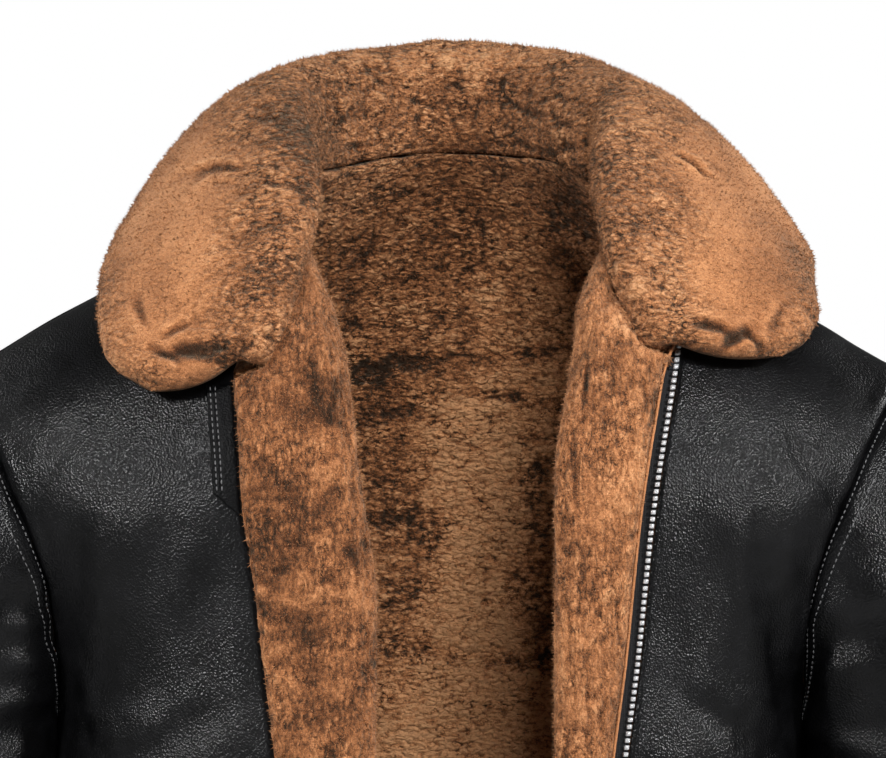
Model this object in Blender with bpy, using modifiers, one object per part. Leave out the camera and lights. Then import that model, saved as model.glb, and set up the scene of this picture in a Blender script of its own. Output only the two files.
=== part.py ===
"""Leather coat of wool-on skin, worn leather side out, with its zip open and its collar folded down.

The coat is hollow and filled out, as if worn by nobody. X is to the viewer's right (the wearer's left),
the front faces -Y and Z is up. Z = 0 is the neck seam at the middle of the back. Every cloth piece is a
closed wall: an outer grid of points on the coat's form and a second grid a wall's thickness away from it.
"""

from math import atan2, cos, pi, sin

import bmesh
import bpy
import numpy as np
from mathutils import Matrix

MM = 0.001

# ---- driving sizes, in metres
HEM_Z = -0.740
UNDERARM_Z = -0.315
SHOULDER_Z = -0.124
SKIN_WALL = 0.007        # skin with its clipped wool
COLLAR_WALL = 0.012      # collar skin with its long wool
SEAM_GAP = 0.0003
HANG_SHIFT = 0.011       # the body hangs this far to -X of the collar
HANG_REACH = 0.200       # from this far out, all of the shift is there
SIDE_POWER = 2.4         # 2 would be an ellipse, more is squarer
FRONT_ROUND = 0.150      # height over which the shoulder rounds into the chest
BACK_ROUND = 0.130
TAPE_THICK = 0.0012
PULL_LENGTH = 0.024
TEETH_START = {"left": 0.0225, "right": 0.0345}

# ---- how finely the walls are divided
ARM_ROWS = 10
LOW_ROWS = 8
FRONT_EDGE_ROWS = 5
FRONT_NECK_ROWS = 5
FRONT_COLS = 12
BACK_NECK_COLS = 10
BACK_SHOULDER_COLS = 7
SLEEVE_HEAD_ROWS = 7
SLEEVE_ARM_ROWS = 14
COLLAR_STEPS = 40
NECK_STEP = 0.1          # the seam runs straight between the panels' corners this far apart
FRONT_SPLIT_Z = -0.300    # the fronts' rows are closer above this, and the storm flaps are pieced here
FLAP_LOW_ROWS = 16
FLAP_HIGH_ROWS = 7
FLAP_TIP_ROWS = 6

# ---- form tables, in millimetres, one row for each level from the hem up
BODY_COLUMNS = ("z", "half_width", "front_depth", "back_depth")
BODY_ROWS = (
    (-740, 215.0, 128, 124),
    (-600, 210.0, 130, 121),
    (-450, 206.5, 133, 122),
    (-360, 206.8, 137, 126),
    (-315, 207.5, 138, 128),
    (-300, 208.6, 138, 129),
    (-270, 216.6, 138, 131),
    (-240, 229.7, 138, 133),
    (-215, 244.4, 138, 134),
    (-190, 259.0, 137, 134),
    (-168, 268.8, 134, 133),
    (-147, 273.6, 131, 131),
    (-124, 275.5, 128, 128),
    (-60, 278.0, 124, 123),
    (40, 280.0, 120, 120),
)
RIDGE_COLUMNS = ("x", "z")
RIDGE_ROWS = (
    (-45, 15.0),
    (0, 38.0),
    (45, 15.0),
    (85, -16.0),
    (130, -46.0),
    (180, -76.5),
    (210, -92.5),
    (237, -109.0),
    (262, -124.0),
    (285, -138.0),
)
ARMHOLE_COLUMNS = ("z", "x")
ARMHOLE_ROWS = (
    (-315, 207.5),
    (-300, 207.5),
    (-270, 208.5),
    (-240, 212.5),
    (-215, 220.0),
    (-190, 231.0),
    (-168, 240.0),
    (-147, 250.0),
    (-124, 262.0),
)
# where the leather of each front ends, and where its wool flap ends nearer the middle
OPENING_COLUMNS = ("z", "left_edge", "right_edge", "left_flap", "right_flap")
OPENING_ROWS = (
    (-740, 64.0, 64.0, 22.0, 20.0),
    (-560, 77.5, 75.5, 38.0, 31.0),
    (-430, 89.0, 87.0, 50.0, 38.0),
    (-334, 98.5, 96.0, 57.0, 41.0),
    (-280, 105.5, 102.5, 57.5, 40.0),
    (-240, 109.5, 107.5, 57.5, 40.5),
    (-200, 113.8, 113.8, 57.0, 46.0),
    (-165, 119.0, 116.2, 58.0, 51.0),
    (-140, 123.2, 118.0, 62.5, 53.5),
    (-112, 127.5, 119.4, 68.5, 58.0),
    (-84, 131.0, 120.0, 71.5, 66.0),
    (-55, 134.0, 121.0, 84.0, 78.0),
)
# the neck seam, from the middle of the back (0) by the neck point (0.5) to the front end (1)
NECK_COLUMNS = ("t", "left_x", "left_z", "right_x", "right_z")
NECK_ROWS = (
    (-0.2, -34, -2.0, -38, -2.0),
    (0.0, 2, 0.0, -2, 0.0),
    (0.2, 38, -2.0, 34, -2.0),
    (0.4, 70, -9.0, 66, -8.5),
    (0.5, 90, None, 86, None),
    (0.65, 99, -48.0, 95, -50.0),
    (0.8, 110, -78.0, 104, -82.0),
    (1.0, 127.5, -112.0, 119.4, -122.0),
)
# the collar's skin side: where it rolls over and where it ends
COLLAR_COLUMNS = ("t", "crest_x", "crest_y", "crest_z", "edge_x", "edge_y", "edge_z", "camber")
COLLAR_ROWS = (
    (-1.00, -114, -125, -116, -160, -116, -133, -6),
    (-0.90, -101, -117, -87, -180, -99, -119, 1),
    (-0.80, -92, -102, -54, -187, -76, -100, 6),
    (-0.65, -88, -62, -7, -184, -26, -70, 10),
    (-0.50, -97, 8, 29, -168, 30, -53, 12),
    (-0.40, -79, 44, 39, -138, 88, -54, 9),
    (-0.20, -42, 80, 47, -72, 126, -54, 5),
    (0.00, 2, 91, 50, 2, 133, -50, 4),
    (0.20, 46, 79, 47, 76, 125, -53, 5),
    (0.40, 82, 42, 37, 150, 88, -58, 9),
    (0.50, 98, 6, 26, 186, 30, -64, 11),
    (0.65, 93, -54, -8, 195, -20, -76, 9),
    (0.80, 98, -92, -52, 197, -53, -92, 6),
    (0.90, 108, -106, -84, 193, -70, -103, 1),
    (1.00, 121, -112, -107, 179, -88, -114, -6),
)
# sleeve sections below the sleeve head, right down to the cuff
SLEEVE_COLUMNS = ("z", "centre_x", "centre_y", "half_width", "half_depth")
SLEEVE_ROWS = (
    (-712, 267.0, -47, 46, 51),
    (-640, 268.0, -33, 49, 55),
    (-570, 269.0, -19, 53, 60),
    (-500, 270.0, -8, 57, 66),
    (-430, 271.5, -1, 61, 71),
    (-360, 273.5, 3, 64, 75),
)
# sleeve folds, columns: level, turn round the sleeve in degrees (0 outside, 90 front, 180 body side),
# half height, half reach round the sleeve in degrees, depth
FOLD_ROWS = (
    (-385, 70, 22, 60, 3.5),
    (-445, 105, 24, 70, 4.5),
    (-500, 80, 22, 75, 5.5),
    (-550, 115, 22, 65, 4.5),
    (-605, 60, 24, 60, 3.5),
    (-665, 95, 22, 80, 3.5),
    (-480, 265, 26, 55, 3.0),
    (-585, 250, 26, 55, 3.0),
)
# a storm flap's cut across, from its flange behind the zip tape to its rolled inner edge
# columns: the edge it is measured from, the distance from that edge, the depth behind the coat's form
FLAP_OUTLINE = (
    ("flange", 0.0, 3.2),
    ("flange", 1.0, 3.2),
    ("roll", 1.4, -1.5),
    ("roll", 5.5, -4.6),
    ("roll", 13.0, -6.2),
    ("inner", 15.0, -6.4),
    ("inner", 8.0, -4.6),
    ("inner", 2.0, -1.0),
    ("inner", 0.0, 3.5),
    ("inner", 2.2, 8.2),
    ("inner", 9.0, 10.8),
    ("roll", 13.0, 10.6),
    ("roll", 2.0, 9.0),
    ("flange", 0.0, 7.2),
)

NECK_POINT_ROW = 4
SIDES = {"left": 1.0, "right": -1.0}
FLANGE_LENGTH = {"left": 0.0086, "right": 0.0050}
SLIDER_ROOM = 0.0086
COLLAR_FOLD_REACH = 0.0190   # the collar's wool reaches this far in from the neck seam at the front
COLLAR_END_Z = {"left": -0.1185, "right": -0.1290}
FLAP_TIP_Z = {"left": -0.064, "right": -0.070}


def column(table, columns, name):
    """One named column of a table in metres, or as it stands where it is no length."""
    place = columns.index(name)
    scale = 1.0 if name == "t" else MM
    return np.array([row[place] for row in table], dtype=float) * scale


def smooth(x, y, at):
    """Heights at given places on a curve through a table's points, with no corner at any of them."""
    at = np.clip(np.asarray(at, dtype=float), x[0], x[-1])
    slope = np.gradient(y, x)
    i = np.clip(np.searchsorted(x, at) - 1, 0, len(x) - 2)
    step = x[i + 1] - x[i]
    s = (at - x[i]) / step
    start = y[i] * (1 + 2 * s) * (1 - s) ** 2 + slope[i] * step * s * (1 - s) ** 2
    end = y[i + 1] * s * s * (3 - 2 * s) - slope[i + 1] * step * s * s * (1 - s)
    return start + end


def body_form(name, z):
    return smooth(column(BODY_ROWS, BODY_COLUMNS, "z"), column(BODY_ROWS, BODY_COLUMNS, name), z)


def opening(name, z):
    rows = column(OPENING_ROWS, OPENING_COLUMNS, "z")
    return smooth(rows, column(OPENING_ROWS, OPENING_COLUMNS, name), z)


def ridge(body_x):
    """Height of the shoulder line at a distance from the middle."""
    return smooth(column(RIDGE_ROWS, RIDGE_COLUMNS, "x"), column(RIDGE_ROWS, RIDGE_COLUMNS, "z"), body_x)


def hang(x):
    """How far the hanging body has moved to -X at a place: nothing at the middle, all of it at the side."""
    return HANG_SHIFT * (0.5 - 0.5 * np.cos(pi * np.minimum(np.abs(x) / HANG_REACH, 1.0)))


def body_x(x):
    """Distance from the body's own middle, for a place on the hanging coat."""
    return np.abs(x + hang(x))


def placed_x(distance, side):
    """Place on the hanging coat of a distance from the body's own middle."""
    x = side * distance
    for _ in range(12):
        x = side * distance - hang(x)
    return x


def rise(x, z, face):
    """How far the shoulder has rounded down at a place: 0 on the ridge, 1 from the chest down."""
    height = FRONT_ROUND if face == "front" else BACK_ROUND
    down = np.clip((ridge(body_x(x)) - z) / height, 0.0, 1.0)
    return np.sqrt(1.0 - (1.0 - down) ** 2)


def form_y(x, z, face):
    """The coat's outer form: its y at a place seen from the front."""
    share = np.clip(body_x(x) / body_form("half_width", z), 0.0, 1.0)
    side_round = (1.0 - share ** SIDE_POWER) ** (1.0 / SIDE_POWER)
    depth = body_form(face + "_depth", z) * rise(x, z, face) * side_round
    return -depth if face == "front" else depth


def turn_of(x, z):
    """Angle round the body's section at a place: 0 at the middle, a quarter turn at the side seam."""
    share = np.clip(body_x(x) / body_form("half_width", z), 0.0, 1.0)
    return np.arcsin(share ** (SIDE_POWER / 2.0))


def x_of(turn, z, side):
    reach = body_form("half_width", z) * np.abs(np.sin(turn)) ** (2.0 / SIDE_POWER)
    return placed_x(reach, side)


def unit(vectors):
    return vectors / np.linalg.norm(vectors, axis=-1, keepdims=True)


def grid_normals(points):
    """Unit normals of a grid, from the directions along its rows and its columns."""
    along = np.gradient(points, axis=0)
    across = np.gradient(points, axis=1)
    return unit(np.cross(along, across))


def material(name, colour, roughness, metallic=0.0):
    made = bpy.data.materials.new(name)
    made.use_nodes = True
    shader = made.node_tree.nodes["Principled BSDF"]
    shader.inputs["Base Color"].default_value = (*colour, 1.0)
    shader.inputs["Roughness"].default_value = roughness
    shader.inputs["Metallic"].default_value = metallic
    return made


def add_object(name, points, faces, finish, collection):
    mesh = bpy.data.meshes.new(name)
    mesh.from_pydata([tuple(p) for p in points], [], faces)
    mesh.materials.append(finish)
    mesh.shade_smooth()
    mesh.set_sharp_from_angle(angle=pi / 4)
    made = bpy.data.objects.new(name, mesh)
    collection.objects.link(made)
    return made


def face_out(made):
    """Turn the faces of a closed body outwards."""
    shape = bmesh.new()
    shape.from_mesh(made.data)
    bmesh.ops.recalc_face_normals(shape, faces=shape.faces)
    shape.to_mesh(made.data)
    shape.free()


def wall(name, outer, inner, finish, collection, closed_round=False):
    """A closed wall between two grids of the same size, its rims closed by strips of faces."""
    rows, cols = outer.shape[:2]
    points = np.concatenate([outer.reshape(-1, 3), inner.reshape(-1, 3)])
    shift = rows * cols
    spans = cols if closed_round else cols - 1
    faces = []
    for r in range(rows - 1):
        for c in range(spans):
            d = (c + 1) % cols
            quad = (r * cols + c, r * cols + d, (r + 1) * cols + d, (r + 1) * cols + c)
            faces.append(quad)
            faces.append(tuple(shift + k for k in reversed(quad)))
    for c in range(spans):
        d = (c + 1) % cols
        top = (rows - 1) * cols
        faces.append((d, c, c + shift, d + shift))
        faces.append((top + c, top + d, top + d + shift, top + c + shift))
    if not closed_round:
        for r in range(rows - 1):
            low, high = r * cols, (r + 1) * cols
            faces.append((low, high, high + shift, low + shift))
            low, high = low + cols - 1, high + cols - 1
            faces.append((high, low, low + shift, high + shift))
    made = add_object(name, points, faces, finish, collection)
    face_out(made)
    return made


def tube(name, rings, finish, collection):
    """A closed body through rings of points, with a flat cap of triangles at each end."""
    rows, cols = rings.shape[:2]
    faces = []
    for r in range(rows - 1):
        for c in range(cols):
            d = (c + 1) % cols
            faces.append((r * cols + c, r * cols + d, (r + 1) * cols + d, (r + 1) * cols + c))
    faces.append(tuple(reversed(range(cols))))
    faces.append(tuple(range((rows - 1) * cols, rows * cols)))
    made = add_object(name, rings.reshape(-1, 3), faces, finish, collection)
    face_out(made)
    return made


def drop_shares():
    """Shares of the height from the hem for the panels' rows, closer together towards the shoulder."""
    height = SHOULDER_Z - HEM_Z
    arm = SHOULDER_Z - UNDERARM_Z
    turn = np.linspace(0, pi / 2, ARM_ROWS + 1)
    upper = arm * (0.65 * (1 - np.cos(turn)) + 0.35 * turn / (pi / 2))
    lower = np.linspace(arm, height, LOW_ROWS + 1)[1:]
    return 1.0 - np.concatenate([upper, lower])[::-1] / height


def armhole_turn(z):
    """Turn round the section at the panel's side: the side seam, then the armhole above the underarm."""
    rows = column(ARMHOLE_ROWS, ARMHOLE_COLUMNS, "z")
    reach = smooth(rows, column(ARMHOLE_ROWS, ARMHOLE_COLUMNS, "x"), z)
    share = np.clip(reach / body_form("half_width", z), 0.0, 1.0)
    return np.where(z <= UNDERARM_Z + 1e-6, pi / 2, np.arcsin(share ** (SIDE_POWER / 2.0)))


def neck_seam(t):
    """Points of the neck seam on the coat's form: t from -1, the right front, by 0, the back, to 1."""
    t = np.atleast_1d(np.asarray(t, dtype=float))
    share = column(NECK_ROWS, NECK_COLUMNS, "t")
    found = []
    for side_name, side in SIDES.items():
        x = column(NECK_ROWS, NECK_COLUMNS, side_name + "_x")
        z = column(NECK_ROWS, NECK_COLUMNS, side_name + "_z")
        z[NECK_POINT_ROW] = ridge(body_x(side * x[NECK_POINT_ROW]))
        found.append((side * smooth(share, x, np.abs(t)), smooth(share, z, np.abs(t))))
    x = np.where(t >= 0, found[0][0], found[1][0])
    z = np.where(t >= 0, found[0][1], found[1][1])
    z = np.minimum(z, ridge(body_x(x)))
    y = np.where(np.abs(t) <= 0.5, form_y(x, z, "back"), form_y(x, z, "front"))
    return np.stack([x, y, z], axis=-1)


def shoulder_seam(side, count):
    """Points along the ridge from the neck point to the armhole, the neck point left out."""
    start = body_x(neck_seam(0.5 * side)[0, 0])
    end = column(ARMHOLE_ROWS, ARMHOLE_COLUMNS, "x")[-1]
    reach = np.linspace(start, end, count + 1)[1:]
    z = ridge(reach)
    return placed_x(reach, side), z


def opening_side(side_name):
    """Points up the opening side of a front: its straight edge from the hem, then its neckline."""
    side = SIDES[side_name]
    neck = neck_seam(side * np.linspace(1.0, 0.5, FRONT_NECK_ROWS + 1))
    chest_z = np.linspace(FRONT_SPLIT_Z, neck[0, 2], FRONT_EDGE_ROWS + 1)[:-1]
    z = np.concatenate([np.linspace(HEM_Z, FRONT_SPLIT_Z, LOW_ROWS + 1)[:-1], chest_z])
    x = side * opening(side_name + "_edge", z)
    return np.concatenate([x, neck[:, 0]]), np.concatenate([z, neck[:, 2]])


def front_panel(side_name):
    """Outer grid of one front: rows from the hem up, columns from the opening to the side."""
    side = SIDES[side_name]
    v = drop_shares()
    edge_x, edge_z = opening_side(side_name)
    side_z = HEM_Z + v * (SHOULDER_Z - HEM_Z)
    ridge_x, ridge_z = shoulder_seam(side, FRONT_COLS)
    top_x = np.concatenate([edge_x[-1:], ridge_x])
    top_z = np.concatenate([edge_z[-1:], ridge_z])
    u = np.linspace(0, 1, FRONT_COLS + 1)
    high_share = v ** 6
    z = coons(edge_z, side_z, np.full(len(u), HEM_Z), top_z, u, high_share)
    edge_turn = turn_of(edge_x, edge_z)
    side_turn = armhole_turn(side_z)
    low_turn = edge_turn[0] + (side_turn[0] - edge_turn[0]) * u
    turn = coons(edge_turn, side_turn, low_turn, turn_of(top_x, top_z), u, high_share)
    z = np.minimum(z, ridge(body_x(x_of(turn, z, side))))
    z[-1] = top_z
    x = x_of(turn, z, side)
    x[:, 0] = edge_x
    y = form_y(x, z, "front")
    low = z[:, -1] <= UNDERARM_Z + 1e-6
    y[low, -1] = 0.0
    y[-1] = 0.0
    points = np.stack([x, y - SEAM_GAP, z], axis=-1)
    return points if side > 0 else points[:, ::-1]


def coons(first, last, low, high, u, high_share):
    """Fill between four boundary curves: straight across, then moved by how far the low and high
    curves stray from straight, each of these by its own share of the height."""
    across = (1 - u)[None, :] * first[:, None] + u[None, :] * last[:, None]
    stray_low = low - ((1 - u) * low[0] + u * low[-1])
    stray_high = high - ((1 - u) * high[0] + u * high[-1])
    return across + (1 - high_share)[:, None] * stray_low + high_share[:, None] * stray_high


def back_panel():
    """Outer grid of the back, from its right side seam to its left one."""
    v = drop_shares()
    right_x, right_z = shoulder_seam(-1.0, BACK_SHOULDER_COLS)
    left_x, left_z = shoulder_seam(1.0, BACK_SHOULDER_COLS)
    neck = neck_seam(np.linspace(-0.5, 0.5, BACK_NECK_COLS + 1))
    top_x = np.concatenate([right_x[::-1], neck[:, 0], left_x])
    top_z = np.concatenate([right_z[::-1], neck[:, 2], left_z])
    u = np.linspace(0, 1, len(top_x))
    z = HEM_Z + v[:, None] * (top_z[None, :] - HEM_Z)
    side_turn = armhole_turn(z[:, -1])
    top_turn = np.sign(top_x) * turn_of(top_x, top_z)
    low_turn = np.linspace(-side_turn[0], side_turn[0], len(u))
    turn = coons(-side_turn, side_turn, low_turn, top_turn, u, v ** 3)
    x = np.where(turn < 0, x_of(turn, z, -1.0), x_of(turn, z, 1.0))
    y = form_y(x, z, "back")
    low = z[:, -1] <= UNDERARM_Z + 1e-6
    y[low, 0] = 0.0
    y[low, -1] = 0.0
    y[-1, :BACK_SHOULDER_COLS + 1] = 0.0
    y[-1, -BACK_SHOULDER_COLS - 1:] = 0.0
    return np.stack([x, y, z], axis=-1)


def panel_inner(points, face, seam_columns):
    """The wool side of a panel: a wall's thickness in, its side and shoulder seams kept square."""
    normals = grid_normals(points)
    outward = -1.0 if face == "front" else 1.0
    middle = normals[len(normals) // 2, normals.shape[1] // 2]
    if middle[1] * outward < 0:
        normals = -normals
    low = points[:, seam_columns[0], 2] <= UNDERARM_Z + 1e-6
    for c in seam_columns:
        normals[low, c, 1] = 0.0
    on_ridge = np.abs(points[-1, :, 1]) <= SEAM_GAP * 1.5
    normals[-1, on_ridge, 1] = 0.0
    return points - SKIN_WALL * unit(normals)


def make_panels(skin, collection):
    """Two fronts and the back. The armhole edges are kept for the sleeves."""
    edges = {}
    back = back_panel()
    inner_back = panel_inner(back, "back", (0, -1))
    wall("back", back, inner_back, skin, collection)
    for side_name, side in SIDES.items():
        front = front_panel(side_name)
        outer_column = -1 if side > 0 else 0
        inner_front = panel_inner(front, "front", (outer_column,))
        wall("front_" + side_name, front, inner_front, skin, collection)
        edges[side_name] = [
            (front[LOW_ROWS:, outer_column], inner_front[LOW_ROWS:, outer_column]),
            (back[LOW_ROWS:, outer_column], inner_back[LOW_ROWS:, outer_column]),
        ]
    return edges


def fold_depth(z, turn):
    """Sum of the sleeve's folds at a level and a turn: each a soft trough that fades at its ends."""
    depth = np.zeros(np.broadcast(z, turn).shape)
    for level, at, height, reach, deep in FOLD_ROWS:
        up = (z - level * MM) / (height * MM)
        around = (np.degrees(turn) - at) / reach
        depth += deep * MM * np.exp(-up ** 2) * np.exp(-around ** 2)
    return depth


def sleeve_ring(z, turn, side):
    """Points of a level section: an ellipse round the sleeve's line."""
    rows = column(SLEEVE_ROWS, SLEEVE_COLUMNS, "z")
    cx, cy, rx, ry = (
        smooth(rows, column(SLEEVE_ROWS, SLEEVE_COLUMNS, name), z)
        for name in ("centre_x", "centre_y", "half_width", "half_depth")
    )
    fold = fold_depth(z, turn)
    x = cx + (rx - fold) * np.cos(turn)
    y = cy - (ry - fold) * np.sin(turn)
    return np.stack([placed_x(x, side), y, np.broadcast_to(z, x.shape)], axis=-1)


def make_sleeve(side_name, edges, skin, collection):
    """A sleeve: lines from the armhole bend down into level sections that end at the cuff."""
    side = SIDES[side_name]
    (front_out, front_in), (back_out, back_in) = edges
    count = 2 * ARM_ROWS
    turn = np.linspace(0, 2 * pi, count, endpoint=False)
    seam = np.concatenate([front_out[::-1], back_out[1:-1]])
    seam_in = np.concatenate([front_in[::-1], back_in[1:-1]])
    for k in (0, ARM_ROWS):
        seam[k, 1] = 0.0
        seam_in[k, 1] = 0.0
    down = ((1 - np.cos(turn)) / 2)[:, None]
    leave = (1 - down) * np.array([0.84, 0, -0.54]) + down * np.array([0.10, 0, -1.0])
    leave = leave + np.sin(turn)[:, None] * np.array([0.0, -0.10, 0.0])
    leave = unit(leave * np.array([side, 1, 1]))
    top_z = SLEEVE_ROWS[-1][0] * MM
    first = sleeve_ring(top_z, turn, side)
    start = seam + leave * SEAM_GAP * 2.5
    length = np.linalg.norm(first - start, axis=1)[:, None] * 1.05
    rows = []
    for s in np.linspace(0, 1, SLEEVE_HEAD_ROWS + 1)[:-1]:
        point = start * (1 + 2 * s) * (1 - s) ** 2 + first * s * s * (3 - 2 * s)
        point = point + leave * length * s * (1 - s) ** 2
        point = point + np.array([0, 0, 1.0]) * length * s * s * (1 - s)
        rows.append(point)
    cuff_z = SLEEVE_ROWS[0][0] * MM
    for z in np.linspace(top_z, cuff_z, SLEEVE_ARM_ROWS + 1):
        rows.append(sleeve_ring(z, turn, side))
    outer = np.array(rows)
    wrapped = np.concatenate([outer[:, -1:], outer, outer[:, :1]], axis=1)
    normals = grid_normals(wrapped)[:, 1:-1]
    centre = outer.mean(axis=1, keepdims=True)
    if np.mean(np.sum(normals * (outer - centre), axis=-1)) < 0:
        normals = -normals
    inner = outer - SKIN_WALL * normals
    keep = np.clip((np.cos(turn) + 0.5) / 0.7, 0, 1)[:, None]
    shared = keep * unit(seam_in - seam) - (1 - keep) * normals[0]
    inner[0] = outer[0] + SKIN_WALL * unit(shared)
    wall("sleeve_" + side_name, outer, inner, skin, collection, closed_round=True)


def bezier(points, steps, skip_first):
    s = np.linspace(0, 1, steps + 1)[1 if skip_first else 0:][:, None]
    a, b, c, d = points
    return a * (1 - s) ** 3 + 3 * b * s * (1 - s) ** 2 + 3 * c * s * s * (1 - s) + d * s ** 3


def collar_section(t):
    """Skin side of the collar at one place on the neck seam: up from it, over the roll and down."""
    low = np.floor(t / NECK_STEP + 1e-6) * NECK_STEP
    start, end = neck_seam([low, min(low + NECK_STEP, 1.0)])
    base = start + (end - start) * (t - low) / NECK_STEP
    rows = column(COLLAR_ROWS, COLLAR_COLUMNS, "t")
    crest, edge = (
        np.array([smooth(rows, column(COLLAR_ROWS, COLLAR_COLUMNS, part + axis), t) for axis in "xyz"])
        for part in ("crest_", "edge_")
    )
    camber = smooth(rows, column(COLLAR_ROWS, COLLAR_COLUMNS, "camber"), t)
    side = 1.0 if t >= 0 else -1.0
    front = np.clip((abs(t) - 0.45) / 0.55, 0, 1)
    back_up = np.array([0.0, 0.0, 1.0])
    front_up = np.array([-0.72 * side, -0.30, 0.62])
    up = unit((1 - front) * back_up + front * front_up)
    out = unit((edge - crest) * np.array([1, 1, 0]))
    base = base + up * SEAM_GAP * 1.5
    stand = np.linalg.norm(crest - base)
    fall = np.linalg.norm(edge - crest)
    lift = unit(out + back_up)
    rising = (base, base + up * stand * 0.45, crest - out * stand * 0.30, crest)
    shoulder = crest + out * fall * 0.16
    lower = edge + (crest - edge) * 0.5 + lift * camber * 2.0
    falling = (crest, shoulder, lower, edge)
    return np.concatenate([bezier(rising, 4, False), bezier(falling, 7, True)])


def make_collar(wool, collection):
    """The collar: its skin side against the stand and the coat, its wool on the outside of the roll."""
    places = np.linspace(-1, 1, COLLAR_STEPS + 1)
    skin_side = np.array([collar_section(t) for t in places])
    normals = grid_normals(skin_side)
    middle = normals[COLLAR_STEPS // 2, 0]
    if middle[1] > 0:
        normals = -normals
    full = COLLAR_WALL * np.ones(skin_side.shape[1])
    full[-1] = COLLAR_WALL * 0.80
    wool_side = skin_side + normals * full[None, :, None]
    wall("collar", wool_side, skin_side, wool, collection)


def on_form(x, z, depth):
    """A point set in from the coat's outer form by a depth, square to the form."""
    y = form_y(x, z, "front") - SEAM_GAP
    step = 0.001
    slope_x = (form_y(x + step, z, "front") - form_y(x - step, z, "front")) / (2 * step)
    slope_z = (form_y(x, z + step, "front") - form_y(x, z - step, "front")) / (2 * step)
    inward = unit(np.stack([-slope_x, np.ones_like(slope_x), -slope_z], axis=-1))
    return np.stack([x, y, z], axis=-1) + inward * depth[..., None]


def flap_levels(side_name):
    """Levels of a storm flap's rows: those of its lower length, those of its upper length as far as the
    collar's end, and those up to its tip."""
    end = COLLAR_END_Z[side_name]
    low = np.linspace(HEM_Z + 0.001, FRONT_SPLIT_Z - SEAM_GAP / 2, FLAP_LOW_ROWS)
    high = np.linspace(FRONT_SPLIT_Z + SEAM_GAP / 2, end, FLAP_HIGH_ROWS)
    tip = np.linspace(end + 0.0012, FLAP_TIP_Z[side_name], FLAP_TIP_ROWS)
    return low, high, tip


def flap_start(side_name, z):
    """How far a storm flap's outer edge is from the leather's edge at each level."""
    side = SIDES[side_name]
    t = np.linspace(0.5, 1.0, 41)
    neck = neck_seam(side * t)
    neck_x = np.interp(z, neck[::-1, 2], np.abs(neck[::-1, 0]))
    leather = opening(side_name + "_edge", z)
    under_collar = leather - neck_x + COLLAR_FOLD_REACH
    return np.where(z <= COLLAR_END_Z[side_name] + 1e-6, 0.0008, under_collar)


def flange_length(side_name, z):
    """Length of a storm flap's flange under the zip tape, longer at the hem to clear the slider."""
    low = np.clip((z - HEM_Z - 0.050) / 0.060, 0.0, 1.0)
    return SLIDER_ROOM + (FLANGE_LENGTH[side_name] - SLIDER_ROOM) * low


def make_flap(side_name, wool, collection):
    """A storm flap, pieced from two lengths: its cut across carried up the front edge, narrowing to a
    tip under the collar."""
    side = SIDES[side_name]
    low, high, tip = flap_levels(side_name)
    z = np.concatenate([low, high, tip])
    leather = opening(side_name + "_edge", z)
    start = flap_start(side_name, z)
    width = leather - opening(side_name + "_flap", z)
    width = np.maximum(width, start + 0.004)
    room = np.clip((width - start) / 0.036, 0.06, 1.0)
    flange = np.where(start > 0.001, 0.0008, flange_length(side_name, z))
    rings = []
    for kind, along, depth in FLAP_OUTLINE:
        if kind == "flange":
            across = start + along * flange
        elif kind == "roll":
            across = start + flange + along * MM * room
        else:
            across = width - along * MM * room
        deep = 0.003 + (depth * MM - 0.003) * (0.35 + 0.65 * room)
        rings.append(on_form(side * (leather - across), z, deep))
    rings = np.array(rings).transpose(1, 0, 2)
    tube("storm_flap_" + side_name + "_lower", rings[:FLAP_LOW_ROWS], wool, collection)
    tube("storm_flap_" + side_name, rings[FLAP_LOW_ROWS:], wool, collection)


def strip(name, side_name, levels, across, depth, finish, collection):
    """A thin strip up a front edge: across and depth give its two edges, in from the leather's edge."""
    side = SIDES[side_name]
    leather = opening(side_name + "_edge", levels)
    rings = []
    for a, d in ((across[0], depth[0]), (across[1], depth[0]), (across[1], depth[1]), (across[0], depth[1])):
        rings.append(on_form(side * (leather - a), levels, np.full(len(levels), d)))
    return tube(name, np.array(rings).transpose(1, 0, 2), finish, collection)


def make_zip(side_name, tape, metal, collection):
    """Zip tape over the flap's flange, and the row of teeth that stands on the tape."""
    low, high, _ = flap_levels(side_name)
    levels = np.concatenate([low[:-1], high])
    tape_end = flange_length(side_name, levels) + 0.0004
    tape_depth = (0.0013, 0.0013 + TAPE_THICK)
    strip("zip_tape_" + side_name, side_name, levels, (0.0006, tape_end), tape_depth, tape, collection)
    levels[0] = HEM_Z + TEETH_START[side_name]
    levels = levels[levels >= levels[0]]
    teeth_depth = (-0.0008, 0.0010)
    strip("zip_teeth_" + side_name, side_name, levels, (0.0010, 0.0036), teeth_depth, metal, collection)


def make_tab(leather_finish, collection):
    """The throat tab: a leather strip on the right front's edge, its lower end cut on a slant."""
    across = np.array([0.0006, 0.0053, 0.0100, 0.0148])
    top, short_end, long_end = -0.1300, -0.1890, -0.2020
    low = np.interp(across, (across[0], across[-1]), (long_end, short_end))
    share = np.linspace(0, 1, 9)
    z = low[None, :] + share[:, None] * (top - low[None, :])
    x = -(opening("right_edge", z) + across[None, :])
    outer = on_form(x, z, np.full(z.shape, -SEAM_GAP - 0.0018))
    inner = on_form(x, z, np.full(z.shape, -SEAM_GAP))
    wall("throat_tab", outer, inner, leather_finish, collection)


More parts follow.
